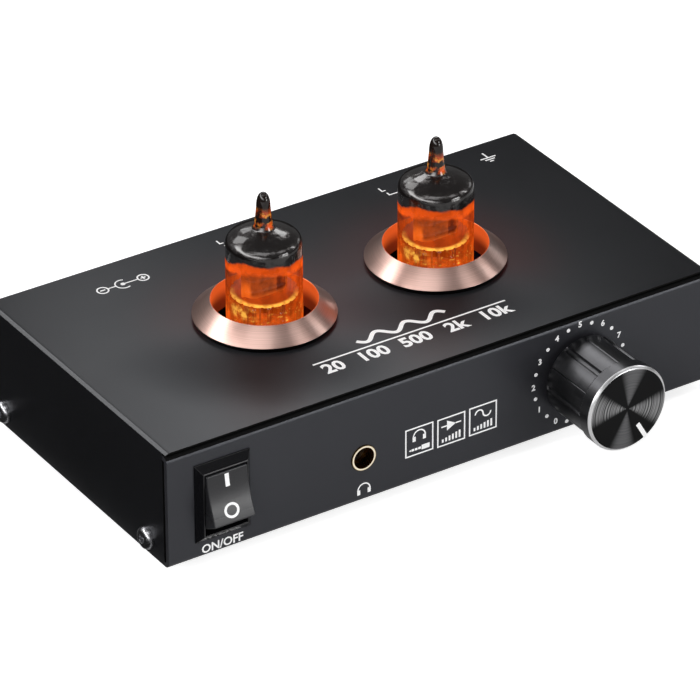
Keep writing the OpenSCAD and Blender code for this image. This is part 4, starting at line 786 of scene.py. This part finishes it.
def knob():
    """The turned knob: recess, bore, fluted side, groove, collar, cut edge and dished face."""
    groove_r = KNOB_BODY_R - 0.75
    bore_end = 14.0
    dish = 0.12
    corners = [(3.2, bore_end), (3.2, 3.4), (7.25, 3.4), (7.25, 0.0), (KNOB_BODY_R - 0.3, 0.0),
               (KNOB_BODY_R, 0.35), (KNOB_BODY_R, 1.0), (KNOB_BODY_R, GROOVE_START - 0.9),
               (KNOB_BODY_R, GROOVE_START), (groove_r, GROOVE_START), (groove_r, COLLAR_START),
               (COLLAR_R - 0.12, COLLAR_START), (COLLAR_R, COLLAR_START + 0.15),
               (COLLAR_R, KNOB_LEN - 0.6), (COLLAR_R - 0.05, KNOB_LEN - 0.52),
               (FACE_R + 0.05, KNOB_LEN - 0.05), (FACE_R - 0.05, KNOB_LEN)]
    face = [(FACE_R * (1 - s), KNOB_LEN - dish * s) for s in np.linspace(0, 1, 14)[1:]]
    profile = np.array(corners + face + [(0.0, bore_end)])
    out, middle = ((profile + np.roll(profile, -1, axis=0)) / 2).T
    rows = np.zeros(len(profile), int)
    rows[(middle > KNOB_LEN - 0.57) & (out > FACE_R - 0.01)] = 1
    rows[(middle > KNOB_LEN - 0.3) & (out < FACE_R)] = 2
    rows[(middle > GROOVE_START - 0.02) & (middle < COLLAR_START + 0.02) & (out > 8.0)] = 3
    finishes = [
        spun_metal("knob_side_black", (0.08, 0.08, 0.084), 1.1, 0.3, 0.04, KNOB_BASE, "front"),
        spun_metal("knob_cut_edge", (0.86, 0.86, 0.87), 0.5, 0.32, 0.02, KNOB_BASE, "front"),
        spun_face(),
        # Painted shade: the groove between side and collar is near-black and dull.
        plastic("knob_groove_painted_shade", (0.004, 0.004, 0.004), 0.7, Specular_IOR_Level=0.1),
    ]
    piece = lathe("volume_knob_turned", profile, KNOB_BASE, finishes, "front", turns=720, swell=fluted,
                  finish_of_row=rows)
    settle(piece, "volume", ("volume_knob",))


knob()

# ---------- printed marks ----------


def on_front(across, up, lift):
    return (across, FRONT - lift, up)


def on_top(across, up, lift):
    return (across, up, COVER_TOP + lift)


def on_knob(across, up, lift):
    return (across, KNOB_BACK - KNOB_LEN - lift, up)


def ink_piece(name, outlines, place, plane, body="case", lifts=(-INK_T, INK_T)):
    """Flat marks a little proud of a face: each outline is a list of (across, up) points."""
    vertices, faces = [], []
    for outline in outlines:
        count = len(outline)
        low = list(range(len(vertices), len(vertices) + count))
        high = [k + count for k in low]
        for lift in lifts:
            vertices += [plane(place[0] + a, place[1] + b, lift) for a, b in outline]
        faces += [low[::-1], high]
        faces += [[low[i - 1], low[i], high[i], high[i - 1]] for i in range(count)]
    settle(mesh_object(name, vertices, faces, [INK]), body)


def lettering(name, text, size, place, plane, weight=0.02):
    """Generic characters as a thin raised mesh, centred on a place."""
    curve = bpy.data.curves.new(name + "_curve", "FONT")
    curve.body = text
    curve.size = size
    curve.offset = weight * size
    curve.resolution_u = 3
    holder = add_object(name + "_holder", curve)
    bpy.context.view_layer.update()
    flat = bpy.data.meshes.new_from_object(holder)
    bpy.data.objects.remove(holder)
    bpy.data.curves.remove(curve)
    points = np.array([v.co[:2] for v in flat.vertices])
    points += place - (points.min(0) + points.max(0)) / 2
    work = bmesh.new()
    top = [work.verts.new([c * MM for c in plane(a, b, INK_T)]) for a, b in points]
    for face in flat.polygons:
        work.faces.new([top[i] for i in face.vertices])
    bmesh.ops.remove_doubles(work, verts=work.verts, dist=1e-7)
    solid = bmesh.ops.extrude_face_region(work, geom=work.faces[:])
    inward = Vector(plane(0, 0, 0)) - Vector(plane(0, 0, 1))
    moved = [v for v in solid["geom"] if isinstance(v, bmesh.types.BMVert)]
    bmesh.ops.translate(work, verts=moved, vec=inward.normalized() * 2 * INK_T * MM)
    bmesh.ops.recalc_face_normals(work, faces=work.faces)
    mesh = bpy.data.meshes.new(name)
    work.to_mesh(mesh)
    work.free()
    mesh.materials.append(INK.material)
    settle(add_object(name, mesh), "case")


def rocker_marks():
    """The bar and ring moulded into the rocker's two halves and filled with white."""
    mesh = NODES["switch_rocker"].data
    tree = BVHTree.FromPolygons([v.co[:] for v in mesh.vertices], [p.vertices[:] for p in mesh.polygons])

    def on_rocker(a, b):
        """A point of the curved front, and the outward way there."""
        start = Vector((SWITCH_X + a, FRONT - 30.0, SWITCH_Z + b)) * MM
        hit, normal, _, _ = tree.ray_cast(start, Vector((0, 1, 0)))
        return np.array(hit) / MM, np.array(normal)

    bar_sides = [[(x, 5.75 + s) for s in np.linspace(-1.6, 1.6, 9)] for x in (-0.7, 0.4)]
    turn = np.linspace(0, 2 * math.pi, 40, endpoint=False)
    ring_sides = [[(radius * math.cos(t) - 0.25, 0.85 * radius * math.sin(t) - 1.4) for t in turn]
                  for radius in (1.35, 2.0)]
    vertices, faces = [], []
    for sides, closed in ((bar_sides, False), (ring_sides, True)):
        count = len(sides[0])
        start = len(vertices)
        found = [on_rocker(a, b) for side in sides for a, b in side]
        for lift in (-INK_T, INK_T):
            vertices += [tuple(point + normal * lift) for point, normal in found]
        rows = [[start + k * count + i for i in range(count)] for k in (0, 1, 3, 2)]
        spans = range(count if closed else count - 1)
        for low, high in zip(rows, rows[1:] + rows[:1]):
            faces += [[low[i], low[(i + 1) % count], high[(i + 1) % count], high[i]] for i in spans]
        if not closed:
            faces += [[row[0] for row in rows], [row[-1] for row in rows]]
    settle(mesh_object("rocker_marks", vertices, faces, [INK]), "rocker")


def arc(radius, turns, centre=(0, 0)):
    """Points round a centre, at angles in degrees."""
    turns = np.radians(turns)
    return [(centre[0] + radius * math.cos(t), centre[1] + radius * math.sin(t)) for t in turns]


def disc(radius, centre=(0, 0)):
    return arc(radius, np.arange(0, 360, 15), centre)


def arc_band(inner, outer, start, end, centre=(0, 0), count=24):
    """A band between two radii from one angle to another, in degrees."""
    turns = np.linspace(start, end, count)
    return arc(outer, turns, centre) + arc(inner, turns[::-1], centre)


def bar(x0, y0, x1, y1, width):
    """A straight stroke between two points."""
    first, last = np.array([x0, y0], float), np.array([x1, y1], float)
    along = last - first
    side = np.array([-along[1], along[0]]) / np.linalg.norm(along) * width / 2
    return [tuple(first - side), tuple(last - side), tuple(last + side), tuple(first + side)]


def box_shape():
    """The four strokes of a box's outline."""
    x, y, line = 7.55 / 2, 7.35 / 2, 0.36
    half = line / 2
    level = [bar(-x - half, side, x + half, side, line) for side in (-y, y)]
    return level + [bar(side, -y + half, side, y - half, line) for side in (-x, x)]


def headphone_shapes(rise=0.0):
    """Head band and two cups."""
    cups = [bar(x, rise - 1.15, x, rise + 0.15, 0.84) for x in (-1.45, 1.45)]
    return [arc_band(1.5, 1.85, 0, 180, (0, rise))] + cups


def plug_shape():
    """A headphone plug on its side: tip, three rings and body."""
    rings = [bar(x, -2.2, x + 0.75, -2.2, 0.6) for x in (-2.2, -1.25, -0.3)]
    return rings + [[(-2.9, -2.2), (-2.4, -2.5), (-2.4, -1.9)], bar(0.65, -2.2, 2.9, -2.2, 1.25)]


def amplifier_shape():
    """A triangle with a line in and a line out."""
    return [[(-1.2, 0.1), (1.3, 1.45), (-1.2, 2.8)], bar(-2.8, 1.45, -1.2, 1.45, 0.35),
            bar(1.3, 1.45, 2.8, 1.45, 0.35)]


def sine_shape():
    """One period of a wave, made of two half rings."""
    return [arc_band(0.9, 1.28, 180 * k, 180 * k + 180, (x, 1.45)) for k, x in enumerate((-1.09, 1.09))]


def level_bars():
    """A row of six rising bars, like a level scale."""
    places = [(0.95 * (k - 2.5), 2.2 * (0.4 + 0.1 * k)) for k in range(6)]
    return [bar(x, -2.85, x, -2.85 + tall, 0.5) for x, tall in places]


def wave_band():
    """A sine wave of three periods, as one closed outline."""
    width, height, stroke, cycles = 25.0, 2.9, 1.1, 3.0
    a = np.linspace(-width / 2, width / 2, 90)
    phase = a / width * 2 * math.pi * cycles
    b = np.sin(phase) * height / 2
    slope = np.cos(phase) * height * math.pi * cycles / width
    off = np.stack((-slope, np.ones_like(a)), -1) / np.sqrt(1 + slope**2)[:, None] * stroke / 2
    line = np.stack((a, b), -1)
    return [tuple(q) for q in np.concatenate((line + off, (line - off)[::-1]))]


def arcs_and_bars():
    """The barrel plug's polarity: a minus ring, the plug's cup and centre, and a plus ring."""
    rings = [arc_band(1.2, 1.6, turn, turn + 180, (x, 0), 17) for x in (-5.6, 5.6) for turn in (0, 180)]
    cup = arc_band(1.75, 2.1, 60, 300, (0, 0), 30)
    lines = [bar(-6.3, 0, -4.9, 0, 0.4), bar(4.9, 0, 6.3, 0, 0.4), bar(5.6, 0.2, 5.6, 0.7, 0.4),
             bar(5.6, -0.7, 5.6, -0.2, 0.4), bar(-4.0, 0, -2.1, 0, 0.35), bar(0.55, 0, 4.0, 0, 0.35)]
    return rings + [cup, disc(0.6)] + lines


def bracket():
    """A flat bracket that joins a left and a right mark."""
    x = 17.3 / 2
    ends = [bar(px, 0.17, px, 1.2, 0.35) for px in (-x + 0.17, x - 0.17)]
    return [bar(-x, 0, x, 0, 0.35)] + ends


def earth_mark():
    """The earth sign: a stem on three bars."""
    steps = [bar(-half, y, half, y, 0.4) for half, y in ((2.2, 0), (1.4, -0.9), (0.6, -1.8))]
    return [bar(0, 0.2, 0, 2.6, 0.4)] + steps


# The white line in the knob's face ends at the bright edge.
line_start, line_end = (arc(radius, [POINTER_TURN])[0] for radius in (5.9, 10.9))
ink_piece("volume_pointer", [bar(*line_start, *line_end, 1.1)], (VOLUME_X, VOLUME_Z), on_knob, "volume",
          lifts=(-0.3, 0.04))
rocker_marks()
for number in range(11):
    spot = arc(13.2, [240 - 30 * number], (VOLUME_X, VOLUME_Z))[0]
    lettering(f"dial_number_{number}", str(number), 2.15, spot, on_front, weight=0.03)
dots = [disc(0.5, spot) for spot in arc(13.0, range(255, -76, -30))]
ink_piece("dial_dots", dots, (VOLUME_X, VOLUME_Z), on_front)
lettering("switch_words", "ON/OFF", 3.1, (-61.5, 5.35), on_front)
ink_piece("jack_mark", headphone_shapes(), (-22.6, 6.3), on_front)
PANEL_BOXES = {
    "m7": ((-7.1, 14.6), headphone_shapes(1.15) + plug_shape()),
    "2": ((1.9, 14.45), amplifier_shape() + level_bars()),
    "11": ((10.9, 14.55), sine_shape() + level_bars()),
}
for label, (spot, shapes) in PANEL_BOXES.items():
    ink_piece(f"panel_box_{label}", box_shape() + shapes, spot, on_front)
ink_piece("cover_rule", [bar(-26.9, -26.0, 27.2, -26.0, 0.5)], (0, 0), on_top)
for row, text in enumerate(("20", "100", "500", "2k", "10k")):
    lettering(f"cover_scale_{row}", text, 5.6, (-23.2 + 11.5 * row, -29.2), on_top, weight=0.03)
ink_piece("cover_wave", [wave_band()], (-0.1, -22.6), on_top)
ink_piece("cover_polarity", arcs_and_bars(), (-44.6, 30.3), on_top)
for index, mark_x in enumerate((-14.8, 2.5, 32.0, 49.3)):
    lettering(f"cover_channel_{index}", "LR"[index % 2], 2.6, (mark_x, 34.6), on_top)
for index, mark_x in enumerate((-6.15, 40.65)):
    ink_piece(f"cover_bracket_{index}", bracket(), (mark_x, 31.4), on_top)
ink_piece("cover_earth", earth_mark(), (62.8, 33.6), on_top)

# ---------- CAD pieces that keep their shape ----------

SOCKET_BLACK = plastic("connector_plastic_finish", (0.02, 0.02, 0.02), 0.45)
STEEL = metal("zinc_plated_steel", (0.62, 0.62, 0.64), 0.28)
GILT = metal("gilt_brass_finish", (0.93, 0.74, 0.40), 0.2)
BRASS = metal("turned_brass", (0.66, 0.5, 0.24), 0.3)
NICKEL = metal("tube_nickel", (0.5, 0.45, 0.4), 0.35)
KEPT = {
    "circuit_board": plastic("board_laminate_finish", (0.03, 0.14, 0.07), 0.35),
    "board_standoffs jack_leaves pot_bushing": BRASS,
    "board_screws switch_terminals pot_washer pot_nut volume_shaft inlet_pin ground_inner_nut": STEEL,
    "tube_socket_left tube_socket_right": plastic("socket_ceramic_finish", (0.8, 0.77, 0.7), 0.5),
    "socket_contacts rca_shells rca_contacts ground_stud ground_washer ground_thumb_nut": GILT,
    "switch_leads": plastic("red_lead_finish", (0.3, 0.02, 0.02), 0.4),
    "headphone_jack power_inlet line_out_block line_in_block": SOCKET_BLACK,
    "jack_bush": jack_plating(),
    "pot_housing": plastic("pot_shell_finish", (0.04, 0.08, 0.14), 0.45),
    "knob_grub_screw": SCREW,
    "rca_insulators_left": plastic("white_insulator_finish", (0.8, 0.79, 0.76), 0.4),
    "rca_insulators_right": plastic("red_insulator_finish", (0.45, 0.02, 0.02), 0.4),
    "ground_lead": plastic("green_lead_finish", (0.03, 0.2, 0.05), 0.4),
    "filter_capacitors": plastic("can_sleeve_finish", (0.03, 0.06, 0.25), 0.25),
    "coupling_capacitors": plastic("film_case_finish", (0.42, 0.06, 0.04), 0.4),
    "op_amps regulator": plastic("chip_resin_finish", (0.02, 0.02, 0.022), 0.5),
    "heat_sink": metal("sink_aluminium_finish", (0.5, 0.51, 0.53), 0.35),
    "boost_inductor": plastic("coil_winding_finish", (0.35, 0.14, 0.05), 0.4),
    "resistors": plastic("resistor_lacquer_finish", (0.55, 0.4, 0.2), 0.3),
    "tube_lights": Finish("amber_light_finish", Base_Color=(1.0, 0.45, 0.1), Roughness=0.3,
                          Emission_Strength=6.0, Emission_Color=(1.0, 0.3, 0.04)),
}
for tube_side in TUBE_XS:
    KEPT[f"tube_pins_{tube_side} tube_electrodes_{tube_side} tube_getter_{tube_side}"] = NICKEL
    KEPT[f"tube_micas_{tube_side}"] = mica(tube_side)
for names, kept_finish in KEPT.items():
    for kept_node in names.split():
        NODES[kept_node].data.materials.clear()
        NODES[kept_node].data.materials.append(kept_finish.material)

# ---------- studio ----------

CAMERA_PLACE = (-630.12, -976.85, 717.60)
CAMERA_TURN = (58.8913, 0.1982, -32.9524)
LENS = 291.03

# The ways along the main view as the cover mirrors it, to its right, and up across it.
TOP_WAY = np.array((0.4645, 0.7201, 0.5154))
RIGHT_WAY = np.array((0.8391, -0.5439, 0.0))
RISE_WAY = np.array((-0.2803, -0.4319, 0.857))


def camera():
    data = bpy.data.cameras.new("camera")
    data.lens = LENS
    data.sensor_width = 36.0
    data.clip_start = 0.05
    data.clip_end = 20.0
    holder = add_object("camera", data)
    holder.location = [c * MM for c in CAMERA_PLACE]
    holder.rotation_euler = [math.radians(a) for a in CAMERA_TURN]
    bpy.context.scene.camera = holder


def lamp(name, kind, place, mirrored):
    """A lamp at a place, which the camera doesn't see."""
    holder = add_object(name, bpy.data.lights.new(name, kind))
    holder.location = [c * MM for c in place]
    holder.visible_camera = False
    holder.visible_glossy = mirrored
    return holder


def softbox(name, place, size, radiance, aim=(0, 0, 30), mirrored=True):
    """A rectangular lamp that faces a point; its power follows from the radiance it should have."""
    holder = lamp(name, "AREA", place, mirrored)
    way = Vector(aim) - Vector(place)
    holder.rotation_euler = way.to_track_quat("-Z", "Y").to_euler()
    holder.data.shape = "RECTANGLE"
    holder.data.size = size[0] * MM
    holder.data.size_y = size[1] * MM
    holder.data.energy = radiance * math.pi * holder.data.size * holder.data.size_y


def cover_light(name, right, rise, size, radiance):
    """A softbox behind the object that the cover mirrors to the front."""
    aim = np.array((0.0, 0.0, COVER_TOP)) + right * RIGHT_WAY + rise * RISE_WAY
    softbox(name, tuple(aim + 200 * TOP_WAY), size, radiance, tuple(aim))


def tube_lamp(side):
    """The warm light that a tube throws on the ring and the cover."""
    data = lamp(f"tube_lamp_{side}", "POINT", (TUBE_XS[side], TUBE_Y, 46), False).data
    data.energy = 0.04
    data.color = (1.0, 0.16, 0.02)
    data.shadow_soft_size = 4 * MM


def world():
    """White to the camera, and an even dim grey for everything else."""
    scene_world = bpy.data.worlds.new("studio")
    bpy.context.scene.world = scene_world
    scene_world.use_nodes = True
    tree = scene_world.node_tree
    tree.nodes.clear()
    output = tree.nodes.new("ShaderNodeOutputWorld")
    path = tree.nodes.new("ShaderNodeLightPath")
    mixer = tree.nodes.new("ShaderNodeMixShader")
    tree.links.new(path.outputs["Is Camera Ray"], mixer.inputs[0])
    for socket, strength in ((1, 0.12), (2, 1.0)):
        plain = tree.nodes.new("ShaderNodeBackground")
        plain.inputs["Color"].default_value = (1, 1, 1, 1)
        plain.inputs["Strength"].default_value = strength
        tree.links.new(plain.outputs[0], mixer.inputs[socket])
    tree.links.new(mixer.outputs[0], output.inputs["Surface"])


def floor():
    """A wide pale floor; reflections find it bright in front, and dark to the left and behind."""
    finish = Finish("floor_white", Roughness=1.0, Specular_IOR_Level=0.0, Emission_Color=(1.0, 1.0, 1.0))
    x, y, _ = finish.split(finish.place())
    camera_sees = finish.add("LightPath", output="Is Camera Ray")
    glossy = finish.add("LightPath", output="Is Glossy Ray")
    clear = finish.add("LightPath", output="Is Transmission Ray")
    dark = x.step(-76.2, -79.0) * y.step(-130.0, -90.0) + y.step(85.0, 105.0)
    finish.colour(finish.mix(glossy * dark.clamped(), (0.8, 0.8, 0.8), (0.03, 0.03, 0.03)))
    finish.set(Emission_Strength=(camera_sees + clear) * 0.75)
    reach = 6000.0 * MM
    corners = [(-reach, -reach, 0), (reach, -reach, 0), (reach, reach, 0), (-reach, reach, 0)]
    mesh = bpy.data.meshes.new("floor")
    mesh.from_pydata(corners, [], [(0, 1, 2, 3)])
    mesh.materials.append(finish.material)
    piece = add_object("floor", mesh)


def belt():
    """A curved, soft-edged card round the left and the front, which only reflections find."""
    finish = Finish("left_belt_light", Base_Color=(0.0, 0.0, 0.0), Roughness=1.0, Specular_IOR_Level=0.0,
                    Emission_Color=(1.0, 1.0, 1.0))
    across, up, _ = finish.split(finish.add("TexCoord", output="UV"))
    soft = up.between(0.0, 0.4, 0.6, 1.0) * across.between(0.0, 0.14, 0.6, 1.0)
    finish.set(Emission_Strength=soft * 7.0)
    u, v = np.meshgrid(np.linspace(0, 1, 40), np.linspace(0, 1, 9))
    # Over 154 degrees round, the lower edge sinks from 34 to 3 degrees and the upper from 62 to 22.
    turn = np.radians(112.0 + 154.0 * u)
    low, high = 34.0 - 31.0 * u, 62.0 - 40.0 * u
    rise = np.radians(low + (high - low) * v)
    points = np.stack((np.cos(turn) * np.cos(rise), np.sin(turn) * np.cos(rise), np.sin(rise)), -1)
    points = points.reshape(-1, 3) * 640.0 * MM
    mesh = bpy.data.meshes.new("left_belt")
    mesh.from_pydata(points.tolist(), [], grid_faces(9, 40, close_columns=False).tolist())
    layer = mesh.uv_layers.new(name="across")
    corner = np.array([loop.vertex_index for loop in mesh.loops])
    layer.data.foreach_set("uv", np.stack((u, v), -1).reshape(-1, 2)[corner].ravel())
    mesh.materials.append(finish.material)
    piece = add_object("left_belt", mesh)
    piece.visible_camera = False
    piece.visible_diffuse = False
    piece.visible_shadow = False


camera()
world()
floor()
for tube_side in TUBE_XS:
    tube_lamp(tube_side)
softbox("overhead", (-280, -250, 720), (420, 380), 2.1)
softbox("overhead_middle", (5, -335, 700), (190, 230), 0.9)
softbox("overhead_right", (287, -382, 660), (230, 230), 1.7)
cover_light("cover_gradient", 4, 59, (116, 54), 4.6)
cover_light("cover_left_gradient", -76, 22, (40, 60), 2.0)
softbox("back_left", (-100, 518, 524), (200, 260), 2.6)
softbox("back_left_low", (-420, 560, 360), (300, 180), 0.5)
softbox("left_high", (-560, -60, 560), (240, 200), 2.8, aim=(0, 0, 40))
belt()
softbox("fill_left", (-640, 120, 270), (260, 150), 8.0, mirrored=False)
softbox("fill_front_left", (-480, -440, 330), (420, 150), 7.5, mirrored=False)
softbox("front_low", (440, -830, 72), (340, 100), 9.5, aim=(0, -40, 20))
softbox("front_high", (470, -800, 330), (330, 180), 9.0, aim=(VOLUME_X, -61, VOLUME_Z))
softbox("right_strip", (740, -230, 480), (90, 330), 5.5, aim=(0, 0, 50))
softbox("right_low", (760, 150, 230), (240, 160), 1.0, aim=(0, 0, 50))

bpy.context.scene.view_settings.view_transform = "Standard"
